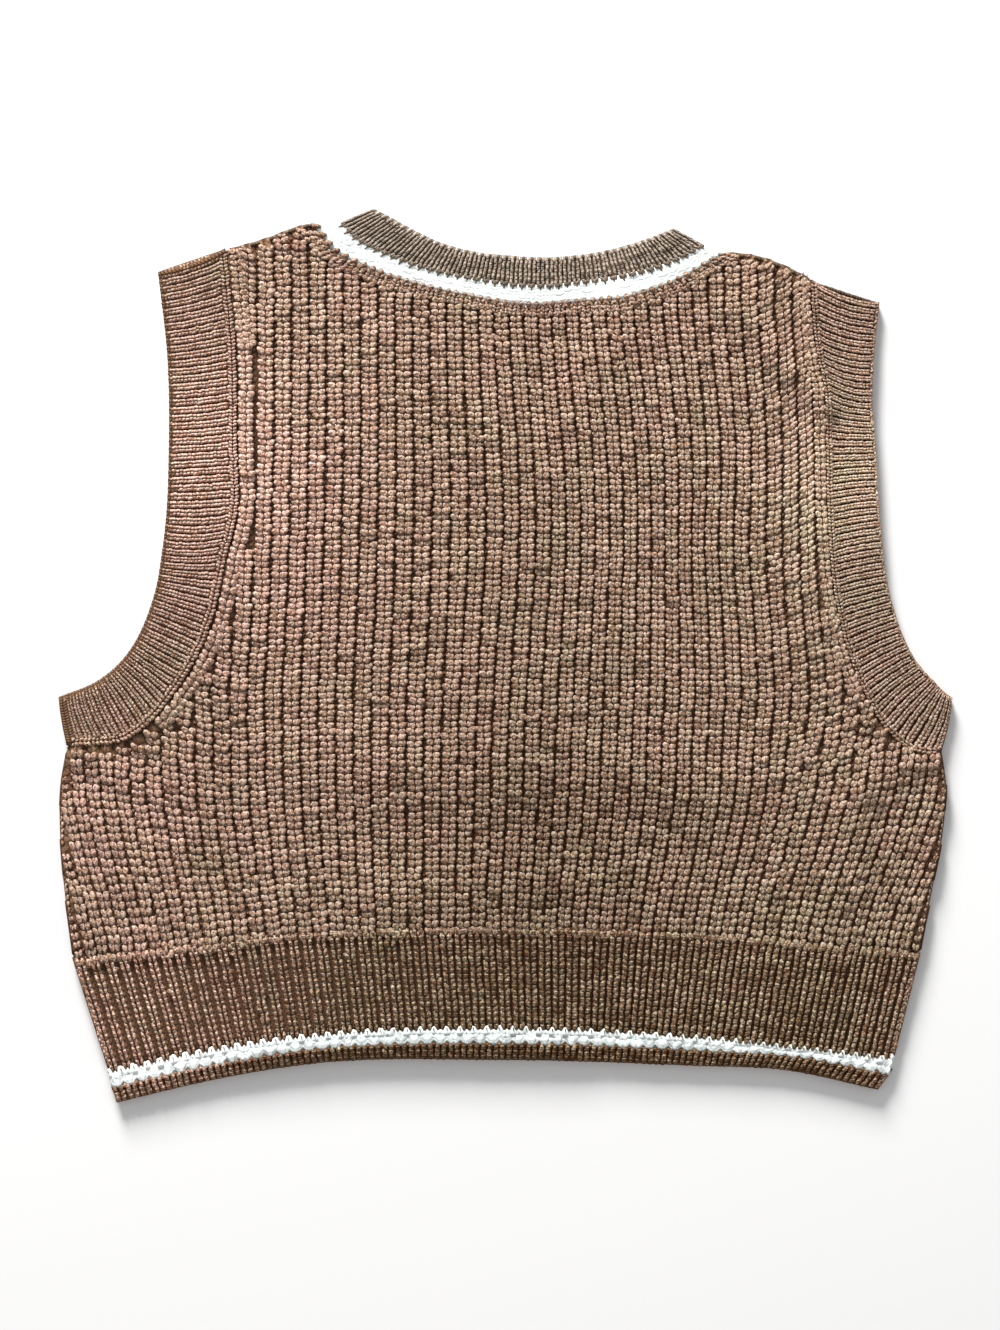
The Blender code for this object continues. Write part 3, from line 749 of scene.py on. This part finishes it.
def knit(name, template, stitches, ground, uneven, yarn, jumble=None, scale=None):
    # stitches are wale and course numbers: the template is repeated at each and bent to its ground
    rng = np.random.default_rng(sum(map(ord, name)))
    count, points = len(stitches), template["points"]
    wild = 1.0 if jumble is None else (1.0 + jumble(stitches))[:, None]
    size = 1.0 + uneven["size"] * rng.standard_normal((count, 1))
    size *= 1.0 if scale is None else scale(stitches)[:, None]
    lean = uneven["lean"] * wild * rng.standard_normal((count, 1))
    drift = uneven["drift"] * wild
    across = (points[:, 0] * size + lean * points[:, 1]) / template["pitch"]
    along = (points[:, 1] * size - lean * points[:, 0]) / template["course"]
    across += stitches[:, :1] + drift * rng.standard_normal((count, 1))
    along += stitches[:, 1:2] + drift * rng.standard_normal((count, 1))
    height = points[:, 2] * size + uneven["height"] * wild * rng.standard_normal((count, 1))
    places, rise = ground(across, along)
    raised = places + height[..., None] * rise
    raised[..., 2] = np.maximum(raised[..., 2], lie["floor"])
    # tone: random for each stitch, plus the painted light and shade of its broad place
    light, olive = paintedLightAndHueAt(places[..., :2].mean(axis=1)).T[..., None]
    tone = 0.5 + dye["toneSpread"] * rng.standard_normal((count, 1)) + light
    hue = np.clip(dye["hue"] + dye["broadHue"] * olive, *dye["hueRange"])
    # the stitch attribute: tone with painted light, painted shade by depth in the yarn, and hue
    channels = (tone, template["paintedDepthShade"], hue, 1.0)
    stitch = np.stack([np.broadcast_to(channel, across.shape) for channel in channels], axis=-1)

    corners = np.concatenate([np.array(face) for face in template["faces"]])
    sizes = np.array([len(face) for face in template["faces"]])
    offsets = np.arange(count)[:, None] * len(points)
    mesh = bpy.data.meshes.new(name)
    mesh.vertices.add(count * len(points))
    mesh.vertices.foreach_set("co", (raised * mm).ravel())
    mesh.loops.add(count * len(corners))
    mesh.loops.foreach_set("vertex_index", (corners + offsets).ravel())
    allSizes = np.tile(sizes, count)
    mesh.polygons.add(len(allSizes))
    mesh.polygons.foreach_set("loop_start", np.append(0, np.cumsum(allSizes)[:-1]))
    mesh.polygons.foreach_set("loop_total", allSizes)
    mesh.update(calc_edges=True)
    layer = mesh.uv_layers.new(name="yarn")
    layer.data.foreach_set("uv", np.tile(template["yarnUV"][corners], (count, 1)).ravel())
    colour = mesh.color_attributes.new("stitch", "FLOAT_COLOR", "POINT")
    colour.data.foreach_set("color", stitch.ravel())
    mesh.shade_smooth()
    piece = addObject(name, mesh)
    finishPiece(piece, yarn, "stitches")
    faceOutwards(mesh)
    print(f"{name}: {count} stitches, {len(mesh.loop_triangles)} triangles")
    return piece


def stitchRow(count, across, along):
    return np.stack([np.arange(count) + across, np.full(count, along)], axis=1)


def stitchGrid(wales, first, last, step=1.0):
    rows = np.arange(first, last, step)
    return np.stack(np.meshgrid(np.arange(wales) + 0.5, rows), axis=-1).reshape(-1, 2)


def bandPlan(near, far, ribs, courses, bow=0.0):
    # from wale and course numbers to a strip between two lines: courses count from far to near.
    # With bow 1 the ribs meet the near line square, however slanted they start.
    way = waysOf(far)

    def place(across, along):
        shares = np.clip(across / ribs, 0.0, 1.0)
        start, level = readRows(far, shares), readRows(way, shares)
        reach = readRows(near, shares) - start
        share = (along / courses)[..., None]
        slant = (reach * level).sum(-1, keepdims=True) * level
        return start + share * reach + bow * share * (1.0 - share) * slant

    return place


def gathered(plan, table):
    # the legs of a rib drawn together where its cloth is slack: rib numbers, and by how much
    def place(across, along):
        middle = np.floor(across) + 0.5
        return plan(middle + (across - middle) * (1.0 - np.interp(middle, *np.array(table).T)), along)

    return place


def ribGrid(plan, ribs, columns, span, rows):
    # wale and course numbers all over a piece of cloth, and the places they lie at
    across = np.linspace(0.0, ribs, ribs * columns + 1)
    grid = np.stack(np.meshgrid(across, np.linspace(*span, rows + 1)), axis=-1)
    return grid, plan(grid[..., 0], grid[..., 1])


def ribWave(grid):
    # 1 along the middle of each wale, 0 in the grooves
    return 0.5 - 0.5 * np.cos(2 * math.pi * grid[..., 0])


def stripSize(plan, ribs, span, steps=200):
    # a strip's cut: its length along its middle, and its mean width
    across = np.linspace(0.0, ribs, steps)
    low, high = (plan(across, np.full(steps, end)) for end in span)
    middle = (low + high) / 2
    return stepsOf(middle).sum() * mm, np.linalg.norm(high - low, axis=1).mean() * mm


def stripCloth(name, plan, ribs, shape, yarn, span):
    # the cloth under a strip's stitches, ribbed along its courses, with its cut
    grid, places = ribGrid(plan, ribs, shape["columns"], span, shape["rows"])
    rise = shape["rise"] * ease(readGrid(edgeGrid, places) / lie["edgeReach"])
    top = clothTop(places, shape["wall"]) + rise * (ribWave(grid) - 1.0) - shape.get("sink", 0.0)
    return clothShell(name, places, top, grid, shape["thickness"], yarn, "under"), stripSize(plan, ribs, span)


# The front lies under the back, outer face down: ribbed cloth, flat where it rests
front = {
    "top": 2.75, "rise": 0.55, "thickness": 2.1, "edgeFall": 0.7, "columns": 2, "rows": 8,
    "bodyRows": 60,
}


def frontTop(places, grid):
    rib = ribWave(grid)
    return front["top"] - front["edgeFall"] * edgeFall(places) * rib + front["rise"] * (rib - 1.0)


def frontStrip(name, plan, ribs, yarn, node, span, lift=0.0):
    grid, places = ribGrid(plan, ribs, front["columns"], span, front["rows"])
    cloth = clothShell(name, places, frontTop(places, grid) + lift, grid, front["thickness"], yarn, "plain")
    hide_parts(node)
    stripSize(plan, ribs, span)


# Back body: half-cardigan rib, wide plump V stitches
bodyKnit = {
    "wales": 60,
    # share of the width or height, and how big the wales or courses are there
    "waleSizes": (
        (0, 0.88), (0.05, 0.88), (0.104, 0.95), (0.194, 1.10), (0.392, 1.10), (0.518, 0.97),
        (0.698, 0.93), (0.815, 1.03), (0.896, 0.96), (0.95, 0.86), (1, 0.82),
    ),
    # the outer wales lean out and run off over the side folds: height y, and how far out
    "spread": ((-145, 0), (-125, 3), (-105, 7.5), (-20, 25)),
    "courses": 119,
    "courseSizes": ((0, 1.16), (0.12, 1.12), (0.26, 1), (1, 0.98)),
    "top": 236.0, "sideStretch": 0.20, "stretchStart": 0.51, "stretchBlend": 0.42, "wall": 2.1,
    "thickness": 1.5, "grooveDepth": 1.5, "columns": 2,
    # how far the stitches stay from the armhole seams, to leave room for the edge wale: y, clear
    "seamClear": {
        "left": ((-40, 6), (10, 7.5), (60, 9.5), (80, 11.6), (110, 11.6), (135, 8.5)),
        "right": ((-40, 4), (10, 5), (40, 9), (150, 9), (172, 5.5)),
    },
    "seamStart": 3.8, "neckClear": 4.6, "edgeClear": 1.5, "hemWobble": 0.12, "waleSlip": 0.2,
    "firstCourse": 0.1, "barShift": (0.5, 0.4),
    # distance from the folds, and the size of the stitches there
    "foldScale": ((1.5, 5.0), (0.45, 1.0)),
}
bodyGauge = {"pitch": 8.45, "course": 3.12}
bodyStitch = {
    **bodyGauge, "flat": 0.11, "round": 0.22,
    "path": (
        (-3.1, 1.05, 1, 0.95), (-2.3, 0.68, 6.5, 1.55),
        (-1.42, 0.08, 7.6, 1.72), (-0.55, -0.67, 4, 0.98),
    ),
}
# the purl bars at the bottom of the grooves, kept dark as painted shade
grooveStitch = {
    **bodyGauge, "single": True, "roundness": 0, "flat": 0.7, "shade": (0.05, 0.45),
    "path": ((-1.2, 0.25, 0, 0.6), (0, -0.1, 0.7, 0.85), (1.2, 0.25, 0, 0.6)),
}
grooveLevel = -1.6
bodyUneven = {"size": 0.05, "lean": 0.06, "drift": 0.035, "height": 0.14}
# where the stitches are most uneven: x, y, reach, how much more
jumbles = (
    (-165, -28, 30, 1.4),
    (176, -34, 26, 1.2),
    (-120, 208, 22, 1),
    (134, 198, 22, 1),
)
# where the wales bend sideways: x, y, reach across and along, by how much
sways = (
    (15, 65, 60, 65, 4.5),
    (115, 55, 30, 30, -2.5),
    (85, 190, 70, 55, -8),
    (180, -22, 45, 40, 4.5),
)


def edgesOf(count, sizes):
    # where wales or courses of uneven size begin and end, as shares of them all
    sizes = np.interp((np.arange(count) + 0.5) / count, *np.array(sizes).T)
    return np.append(0.0, np.cumsum(sizes)) / sizes.sum()


waleEdges = edgesOf(bodyKnit["wales"], bodyKnit["waleSizes"])
courseEdges = edgesOf(bodyKnit["courses"], bodyKnit["courseSizes"])
hemShares = np.linspace(0.0, 1.0, len(hemRows))


def bodyPlan(across, along):
    share = np.interp(across, np.arange(len(waleEdges)), waleEdges)
    up = np.interp(along, np.arange(len(courseEdges)), courseEdges)
    up += np.minimum(along, 0.0) * courseEdges[1]
    hemLine = np.interp(share, hemShares, hemRows[:, 1])
    outer = ease((np.abs(share * 2.0 - 1.0) - bodyKnit["stretchStart"]) / bodyKnit["stretchBlend"])
    y = hemLine + up * (bodyKnit["top"] - hemLine) * (1.0 + bodyKnit["sideStretch"] * outer)
    reach = np.interp(y, *np.array(bodyKnit["spread"]).T)
    left, right = foldX(y, 0) - reach, foldX(y, 2) + reach
    x = left + share * (right - left)
    for middleX, middleY, reachX, reachY, amount in sways:
        x += amount * np.exp(-(((x - middleX) / reachX) ** 2) - ((y - middleY) / reachY) ** 2)
    return np.stack([x, y], axis=-1)


def bodyGrid(columns, rows):
    return ribGrid(bodyPlan, bodyKnit["wales"], columns, (0.0, bodyKnit["courses"]), rows)


def bodyCloth():
    grid, places = bodyGrid(bodyKnit["columns"], bodyKnit["courses"])
    top = clothTop(places, bodyKnit["wall"]) + bodyKnit["grooveDepth"] * (ribWave(grid) - 1.0)
    thickness = bodyKnit["thickness"]
    return clothShell("backBodyCloth", places, top, grid, thickness, "brown", "under", backOutline)


def bodyJumble(stitches):
    places = bodyPlan(*stitches.T)
    more = np.zeros(len(places))
    for x, y, reach, amount in jumbles:
        more += amount * swell(places, (x, y), reach)
    return more


def foldScale(stitches):
    # smaller stitches next to the folds
    return np.interp(readGrid(edgeGrid, bodyPlan(*stitches.T)), *bodyKnit["foldScale"])


def bodyStitches():
    template = stitchTemplate("bodyStitch", bodyStitch)
    stitches = stitchGrid(bodyKnit["wales"], bodyKnit["firstCourse"], bodyKnit["courses"])
    places = bodyPlan(*stitches.T)
    kept = insideOf(backOutline, places) & (readGrid(edgeGrid, places) > bodyKnit["edgeClear"])
    for side, clears in bodyKnit["seamClear"].items():
        seam = armholeRows[side][:, 2:]
        clear = np.interp(places[:, 1], *np.array(clears).T)
        kept &= distanceTo(seam[: int(edgeShare * len(seam))], places) > clear
        kept &= distanceTo(seam, places) > bodyKnit["seamStart"]
    kept &= distanceTo(neckRows[:, 4:], places) > bodyKnit["neckClear"]
    stitches = stitches[kept]
    # the courses of neighbouring wales slip a little, and the first ones more
    wobble = np.random.default_rng(3).uniform(-1.0, 1.0, bodyKnit["wales"] + 1)
    slip = bodyKnit["waleSlip"] * np.cumsum(wobble) + bodyKnit["hemWobble"] * wobble
    stitches[:, 1] += slip[stitches[:, 0].astype(int)]
    thirds = np.array_split(stitches[np.argsort(stitches[:, 1], kind="stable")], 3)
    ground = onCloth(bodyPlan, bodyKnit["wall"])
    pieces = [
        knit(f"backBodyStitches{part}", template, rows, ground, bodyUneven, "brown", bodyJumble, foldScale)
        for part, rows in zip(("Low", "Middle", "High"), thirds)
    ]
    bars = stitches + bodyKnit["barShift"]
    bars = bars[readGrid(edgeGrid, bodyPlan(*bars.T)) > bodyKnit["edgeClear"]]
    template = stitchTemplate("grooveStitch", grooveStitch)
    ground = onCloth(bodyPlan, bodyKnit["wall"] + grooveLevel)
    return [*pieces, knit("backBodyGrooveStitches", template, bars, ground, bodyUneven, "brown")]


edgeShare = 0.87  # of each armhole seam, from the shoulder down, has the edge wale
backBody = bodyCloth()
backBodyStitches = bodyStitches()
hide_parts("back_body")

# Along each armhole: a whole wale on the body, the fine linking next to it, and the band's smooth rim
seamStitch = {
    "pitch": 4.4, "course": 1.9, "shade": (0.25, 1), "flat": 0.8,
    "path": ((-1.9, 0.7, 0.3, 0.6), (-1.15, 0.1, 0.75, 0.9), (-0.35, -0.6, 0.5, 0.75)),
}
rimStitch = {
    "pitch": 2.2, "course": 1.5, "single": True, "shade": (0.3, 0.8),
    "path": ((-0.1, -0.9, 0.2, 0.75), (0, 0, 0.35, 1), (0.1, 0.9, 0.2, 0.75)),
}
# "on" is the column of its line in the armhole's rows: 0 the free edge, 2 the seam
edgeWale = {"stitch": bodyStitch, "wall": 2.1, "on": 2, "share": edgeShare}
linkWale = {"stitch": seamStitch, "wall": 2.0, "on": 2, "share": 1.0}
rimWale = {"stitch": rimStitch, "on": 0, "share": 1.0}
armholeWales = {
    "leftEdge": {**edgeWale, "inset": 6.3, "halfWidth": 4.2},
    "leftLink": {**linkWale, "inset": -0.4, "halfWidth": 2.2},
    "leftRim": {**rimWale, "inset": 0.9, "halfWidth": 1.1, "wall": 1.7},
    "rightEdge": {**edgeWale, "inset": 5.0, "halfWidth": 3.3},
    "rightLink": {**linkWale, "inset": 0.3, "halfWidth": 1.7},
    "rightRim": {**rimWale, "inset": 0.8, "halfWidth": 1.0, "wall": 1.5},
}
waleEndClear = 2.0


def armholeWale(name, wale):
    # one wale along an armhole's seam or free edge, from the underarm up to the shoulder
    side, inward = ("left", 1.0) if name.startswith("left") else ("right", -1.0)
    line = armholeRows[side][:, wale["on"] : wale["on"] + 2]
    line = line[: int(wale["share"] * len(line))]
    lines = [movedLeft(line, inward * (wale["inset"] + shift * wale["halfWidth"])) for shift in (1, -1)]
    count = int(stepsOf(line).sum() / wale["stitch"]["course"])

    def plan(across, along):
        shares = np.clip(1.0 - along / count, 0.0, 1.0)
        first, second = readRows(lines[0], shares), readRows(lines[1], shares)
        return first + across[..., None] * (second - first)

    stitches = stitchGrid(1, 0.5, count)
    if wale["on"]:
        stitches = stitches[readGrid(edgeGrid, plan(*stitches.T)) > waleEndClear]
    template = stitchTemplate(name, wale["stitch"])
    return knit(f"{name}Stitches", template, stitches, onCloth(plan, wale["wall"]), bodyUneven, "brown")


# Side folds: one wale that faces outwards, from the underarm down to the cast-on edge
sideFold = {"inset": 2.9, "radius": 1.9, "level": 2.9, "turn": 2.5, "steps": 12}
foldUneven = {"size": 0.05, "lean": 0.05, "drift": 0.03, "height": 0.1}


def foldStitches(name, line, inward, shape, yarn):
    count = max(2, int(stepsOf(line).sum() / shape["course"]))
    ground = onFold(line, inward, count, sideFold)
    return knit(name, stitchTemplate(name, shape), stitchGrid(1, 0.5, count), ground, foldUneven, yarn)


edgeWales = [armholeWale(name, wale) for name, wale in armholeWales.items()]
sideWales = [
    foldStitches(f"{side}SideStitches", line[::-1], inward, bodyStitch, "brown")
    for side, line, inward in zip(("left", "right"), sideLines(), (-1.0, 1.0))
]
# painted shade: the rims at the shoulder folds and band ends kept dark
shoulderStitch = {**rimStitch, "shade": (0.0, 0.12)}
shoulderWales = [
    foldStitches(f"{side}ShoulderStitches", line, -1.0, shoulderStitch, "dull")
    for side, line in shoulderRows.items()
]


def frontBody():
    grid, places = bodyGrid(front["columns"], front["bodyRows"])
    top, thickness = frontTop(places, grid), front["thickness"]
    cloth = clothShell("frontBodyCloth", places, top, grid, thickness, "brown", "plain", frontOutline)
    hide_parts("front_body")


frontBody()

# Armhole bands: fine rib, two thin legs to a rib
armband = {
    "ribs": 66,
    "courses": {"left": 18, "right": 15},
    "underSeam": -0.6,
    "rows": {"left": (1.9, 17.2, 1.0), "right": (0.7, 14.4, 1.0)},
    "slip": 0.5, "endSteps": 8, "bow": 0.8,
    "cloth": {"wall": 1.7, "rise": 1.5, "thickness": 1.2, "columns": 4, "rows": 8},
    "uneven": {"size": 0.04, "lean": 0.03, "drift": 0.03, "height": 0.06},
}
armbandStitch = {
    "pitch": 4.2, "course": 1.85, "shade": (0.3, 1.4), "flat": 0.7,
    "path": ((-1.2, 1.2, 0.6, 0.5), (-0.85, 0.1, 1.3, 0.82), (-0.55, -1.2, 0.9, 0.58)),
}


def armbandPieces(side):
    rows, ribs, courses = armholeRows[side], armband["ribs"], armband["courses"][side]
    frontPlan = bandPlan(rows[:, :2], rows[:, 2:], ribs, courses)
    plan = bandPlan(rows[:, :2], rows[:, 2:], ribs, courses, armband["bow"])
    name, span = f"{side}ArmbandCloth", (armband["underSeam"], courses)
    cloth, size = stripCloth(name, plan, ribs, armband["cloth"], "brown", span)
    stitches = stitchGrid(ribs, *armband["rows"][side])
    slip = np.random.default_rng(6).uniform(-armband["slip"], armband["slip"], ribs)
    stitches[:, 1] += slip[stitches[:, 0].astype(int)]
    ground = onCloth(plan, armband["cloth"]["wall"])
    template = stitchTemplate("armbandStitch", armbandStitch)
    yarn = knit(f"{side}ArmbandStitches", template, stitches, ground, armband["uneven"], "brown")
    corners = rows[0].reshape(2, 2)[:: 1 if side == "left" else -1]
    line = np.linspace(*corners, armband["endSteps"])
    end = foldStitches(f"{side}BandEndStitches", line, -1.0, shoulderStitch, "dull")
    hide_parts(f"{side}_armband_back")
    node = f"{side}_armband_front"
    frontStrip(f"front{side.title()}ArmbandCloth", frontPlan, ribs, "brown", node, (0.0, courses))


for side in ("left", "right"):
    armbandPieces(side)

# Neckband: brown rib with rounded rib ends and points at its root, and the cream stripe below
neckGauge = {"pitch": 4.2, "course": 2.1}
neckStitch = {
    **neckGauge, "shade": (0.25, 0.9), "flat": 0.7,
    "path": ((-1.15, 1.7, 0.85, 0.7), (-1.1, 0, 0.95, 0.74), (-1.05, -1.35, 0.85, 0.66)),
}
neckStripeStitch = {
    **neckGauge, "flat": 0.27,
    "path": ((-2.8, 0.5, -1.2, 1.3), (-1.7, 0.2, 0.8, 1.45), (-0.5, -0.2, 0.8, 1.45), (0.5, -0.5, -0.8, 1.2)),
}
neckRibEnd = {
    **neckGauge, "single": True, "flat": 0.8, "shade": (0, 0.15),
    "path": ((0, -0.7, 0.35, 1.4), (0, 0.1, 0.35, 1.35), (0, 0.7, 0.25, 1), (0, 1.1, 0.1, 0.5)),
}
neckRibRoot = {
    **neckGauge, "single": True, "flat": 0.7, "shade": (0, 0.35),
    "path": ((0, 1, 0.5, 1.4), (0, 0.1, 0.7, 0.9), (0, -1, 0.8, 0.5), (0, -2.1, 0.7, 0.2)),
}
neckSeamBump = {
    "pitch": 4.6, "course": 2.1, "single": True, "flat": 0.8, "shade": (0.1, 0.7),
    "path": ((0, -1.5, 0.4, 1.4), (0, -0.3, 0.6, 1.5), (0, 0.5, 0.45, 1.15), (0, 1, 0.3, 0.6)),
}
neckband = {
    "ribs": 42,
    "cloth": {"wall": 1.7, "rise": 1.0, "thickness": 1.3, "columns": 4, "rows": 6},
    "parts": {
        "Rib": {
            "courses": 8, "yarn": "dull", "stitch": neckStitch, "span": (0.8, 7.2),
            "rows": (1.1, 7.6, 1),
            "ends": (("Ends", neckRibEnd, 0.5, 7.45), ("Roots", neckRibRoot, 0.5, 0.55)),
        },
        "Stripe": {
            "courses": 3, "yarn": "cream", "stitch": neckStripeStitch, "span": (-0.8, 4),
            "rows": (0.3, 3.3, 0.7), "rise": 0.1, "sink": -0.55, "lift": 0.2,
        },
    },
    "seamBumps": 50, "bumpRow": -0.4, "seamRows": (-2.9, -1, 0.75),
    "uneven": {"size": 0.04, "lean": 0.04, "drift": 0.02, "height": 0.05},
}


def bandPieces(kind, lines, frontLines, band):
    # the strips of a band, each from its near line to its far one, with single stitches at its ends
    for i, (part, knitted) in enumerate(band["parts"].items()):
        ribs, courses, span, yarn = band["ribs"], knitted["courses"], knitted["span"], knitted["yarn"]
        plan = bandPlan(lines[i], lines[i + 1], ribs, courses)
        look = {**band["cloth"], **{key: knitted[key] for key in ("rise", "sink") if key in knitted}}
        cloth, size = stripCloth(f"{kind}{part}Cloth", plan, ribs, look, yarn, span)
        ground = onCloth(plan, look["wall"])
        legs = onCloth(gathered(plan, knitted["gather"]), look["wall"]) if "gather" in knitted else ground
        stitches = stitchGrid(ribs, *knitted["rows"])
        template = stitchTemplate(f"{kind}Stitch", knitted["stitch"])
        pieces = [knit(f"{kind}{part}Stitches", template, stitches, legs, band["uneven"], yarn)]
        for label, end, across, along in knitted.get("ends", ()):
            row, label = stitchRow(ribs, across, along), f"{kind}{part}{label}"
            pieces.append(knit(label, stitchTemplate(label, end), row, ground, band["uneven"], yarn))
        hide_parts(f"back_{kind}_{part.lower()}")
        below, node = f"front{kind.title()}{part}Cloth", f"front_{kind}_{part.lower()}"
        frontPlan = bandPlan(frontLines[i], frontLines[i + 1], ribs, courses)
        frontStrip(below, frontPlan, ribs, yarn, node, span, knitted.get("lift", 0.0))


neckLines = [neckRows[:, i : i + 2] for i in (0, 2, 4)]
frontNeckLines = [frontNeckRows[:, i : i + 2] for i in (0, 2, 4)]
bandPieces("neck", neckLines, frontNeckLines, neckband)


def neckSeam():
    # small bumps where the body meets the stripe, and the finer stitches below them
    bumps = neckband["seamBumps"]
    ground = onCloth(bandPlan(neckLines[1], neckLines[2], bumps, 3), bodyKnit["wall"])
    row = stitchRow(bumps, 0.5, neckband["bumpRow"])
    fine = stitchGrid(bumps, *neckband["seamRows"])
    fine = fine[readGrid(edgeGrid, ground(*fine.T)[0][:, :2]) > waleEndClear]
    knit("neckSeamBumps", stitchTemplate("bump", neckSeamBump), row, ground, neckband["uneven"], "brown")
    knit("neckSeamStitches", stitchTemplate("fine", seamStitch), fine, ground, bodyUneven, "brown")


neckSeam()

# Hem: ribs in brown, then the cream stripe with its zigzag edges, then the brown cast-on edge
hemGauge = {"pitch": 6.9, "course": 3.0}
hemStitch = {
    **hemGauge, "shade": (0.3, 0.66), "flat": 0.6, "round": 0.2,
    "path": ((-2.05, 1.9, 0.7, 0.98), (-1.7, 0.1, 1.3, 1.26), (-1.3, -1.8, 0.8, 1.05)),
}
hemEdgeStitch = {**hemStitch, "shade": (0.1, 0.5)}
hemEdgeRoot = {
    **hemGauge, "single": True, "flat": 0.45, "shade": (0.05, 0.4),
    "path": ((0, -1, 1.2, 1.4), (0, -0.1, 1.5, 1.1), (0, 0.7, 1.4, 0.6), (0, 1.3, 1.1, 0.25)),
}
hemStripeStitch = {
    **hemGauge, "flat": 0.22,
    "path": ((-3.6, 1.3, 1.4, 1.4), (-2.5, 0.65, 2, 1.6), (-1.2, -0.45, 2, 1.7), (0.4, -1.3, 1.4, 1.35)),
}
stripePeak = {
    **hemGauge, "single": True, "flat": 0.22,
    "path": ((0, -1.6, 1.6, 2.6), (0, -0.5, 2.4, 2.5), (0, 0.3, 2.4, 1.8), (0, 0.8, 2, 1)),
}
stripePoint = {
    **hemGauge, "single": True, "flat": 0.22,
    "path": ((0, 1.6, 1.4, 2.6), (0, 0.6, 2.4, 2.3), (0, -0.4, 2.6, 1.4), (0, -1.2, 2.4, 0.6)),
}
stripeDot = {**hemGauge, "single": True, "path": ((-0.3, 0, 1.2, 0.5), (0.3, 0, 1.2, 0.5))}
hemBand = {
    "ribs": 60,
    "cloth": {"wall": 2.0, "rise": 1.4, "thickness": 1.4, "columns": 4, "rows": 10},
    "parts": {
        "Rib": {
            "courses": 17, "yarn": "brown", "stitch": hemStitch, "span": (-0.9, 17.8),
            "rows": (-0.1, 17, 1),
            "gather": ((0, 0.32), (14, 0.24), (26, 0.05), (48, 0), (60, 0.14)),
            "ends": (("Dots", stripeDot, 0.0, -0.55),),
        },
        "Stripe": {
            "courses": 3, "yarn": "cream", "stitch": hemStripeStitch, "span": (0.1, 3.4),
            "rows": (0.7, 2.2, 0.45), "rise": 0.2, "sink": 1.2, "lift": 0.15,
            "ends": (("Peaks", stripePeak, 0.0, 2.25), ("Points", stripePoint, 0.5, 0.45)),
        },
        "Edge": {
            "courses": 3, "yarn": "brown", "stitch": hemEdgeStitch, "span": (-0.1, 4.1),
            "rows": (0.65, 3.4, 0.95), "sink": 0.5, "lift": 0.3,
            "ends": (("Roots", hemEdgeRoot, 0.0, 3.15),),
        },
    },
    "uneven": {"size": 0.05, "lean": 0.04, "drift": 0.02, "height": 0.08},
}

hemLines = [hemRows[:, i : i + 2] for i in (0, 2, 4, 6)]
bandPieces("hem", hemLines, hemLines, hemBand)

# The hem's side folds: the same wale round the fold, brown, cream and brown
for side, row, inward in (("left", hemRows[0], -1.0), ("right", hemRows[-1], 1.0)):
    corners = row.reshape(4, 2)
    for i, (part, yarn) in enumerate((("Rib", "brown"), ("Stripe", "cream"), ("Edge", "brown"))):
        line = np.linspace(corners[i + 1], corners[i], sideFold["steps"])
        foldStitches(f"{side}Hem{part}SideStitches", line, inward, hemStitch, yarn)

view = {"pixel": 0.51, "height": 1.25, "centre": (-3.06, -4.85), "long": 1330, "sensor": 36.0, "level": 6.0}
studio = {
    "floor": 0.84, "floorSize": 8.0, "keyAngle": (106, 19.5), "keyDistance": 3.0, "keySize": 0.9,
    "keyPower": 228.0, "keyColour": (1, 0.99, 0.98), "ambient": 0.5,
}


def makeCamera():
    camera = addObject("camera", bpy.data.cameras.new("camera"))
    x, y = view["centre"]
    camera.location = (x * mm, y * mm, view["height"])
    camera.data.sensor_width = view["sensor"]
    distance = view["height"] - view["level"] * mm
    camera.data.lens = view["sensor"] * distance / (view["long"] * view["pixel"] * mm)
    camera.data.dof.use_dof = False
    bpy.context.scene.camera = camera


def makeFloor():
    clearSelection()
    bpy.ops.mesh.primitive_plane_add(size=studio["floorSize"])
    floor = bpy.context.object
    floor.name = "floor"
    material = bpy.data.materials.new("whiteFloor")
    material.use_nodes = True
    shader = material.node_tree.nodes["Principled BSDF"]
    shader.inputs["Base Color"].default_value = (studio["floor"], studio["floor"], studio["floor"], 1.0)
    shader.inputs["Roughness"].default_value = 0.9
    shader.inputs["Specular IOR Level"].default_value = 0.1
    floor.data.materials.append(material)


def makeKeyLight():
    # a broad low light from the upper left
    turn, rise = (math.radians(angle) for angle in studio["keyAngle"])
    light = addObject("windowLight", bpy.data.lights.new("windowLight", "AREA"))
    light.data.shape = "SQUARE"
    light.data.size = studio["keySize"]
    light.data.energy = studio["keyPower"]
    light.data.color = studio["keyColour"]
    way = (math.cos(turn) * math.cos(rise), math.sin(turn) * math.cos(rise), math.sin(rise))
    light.location = [part * studio["keyDistance"] for part in way]
    light.rotation_mode = "QUATERNION"
    light.rotation_quaternion = (-light.location).to_track_quat("-Z", "Y")


def makeWorld():
    world = bpy.data.worlds.new("studio")
    world.use_nodes = True
    background = world.node_tree.nodes["Background"]
    background.inputs["Color"].default_value = (1.0, 1.0, 1.0, 1.0)
    background.inputs["Strength"].default_value = studio["ambient"]
    bpy.context.scene.world = world


makeCamera()
makeFloor()
makeKeyLight()
makeWorld()
bpy.context.scene.view_settings.view_transform = "Standard"
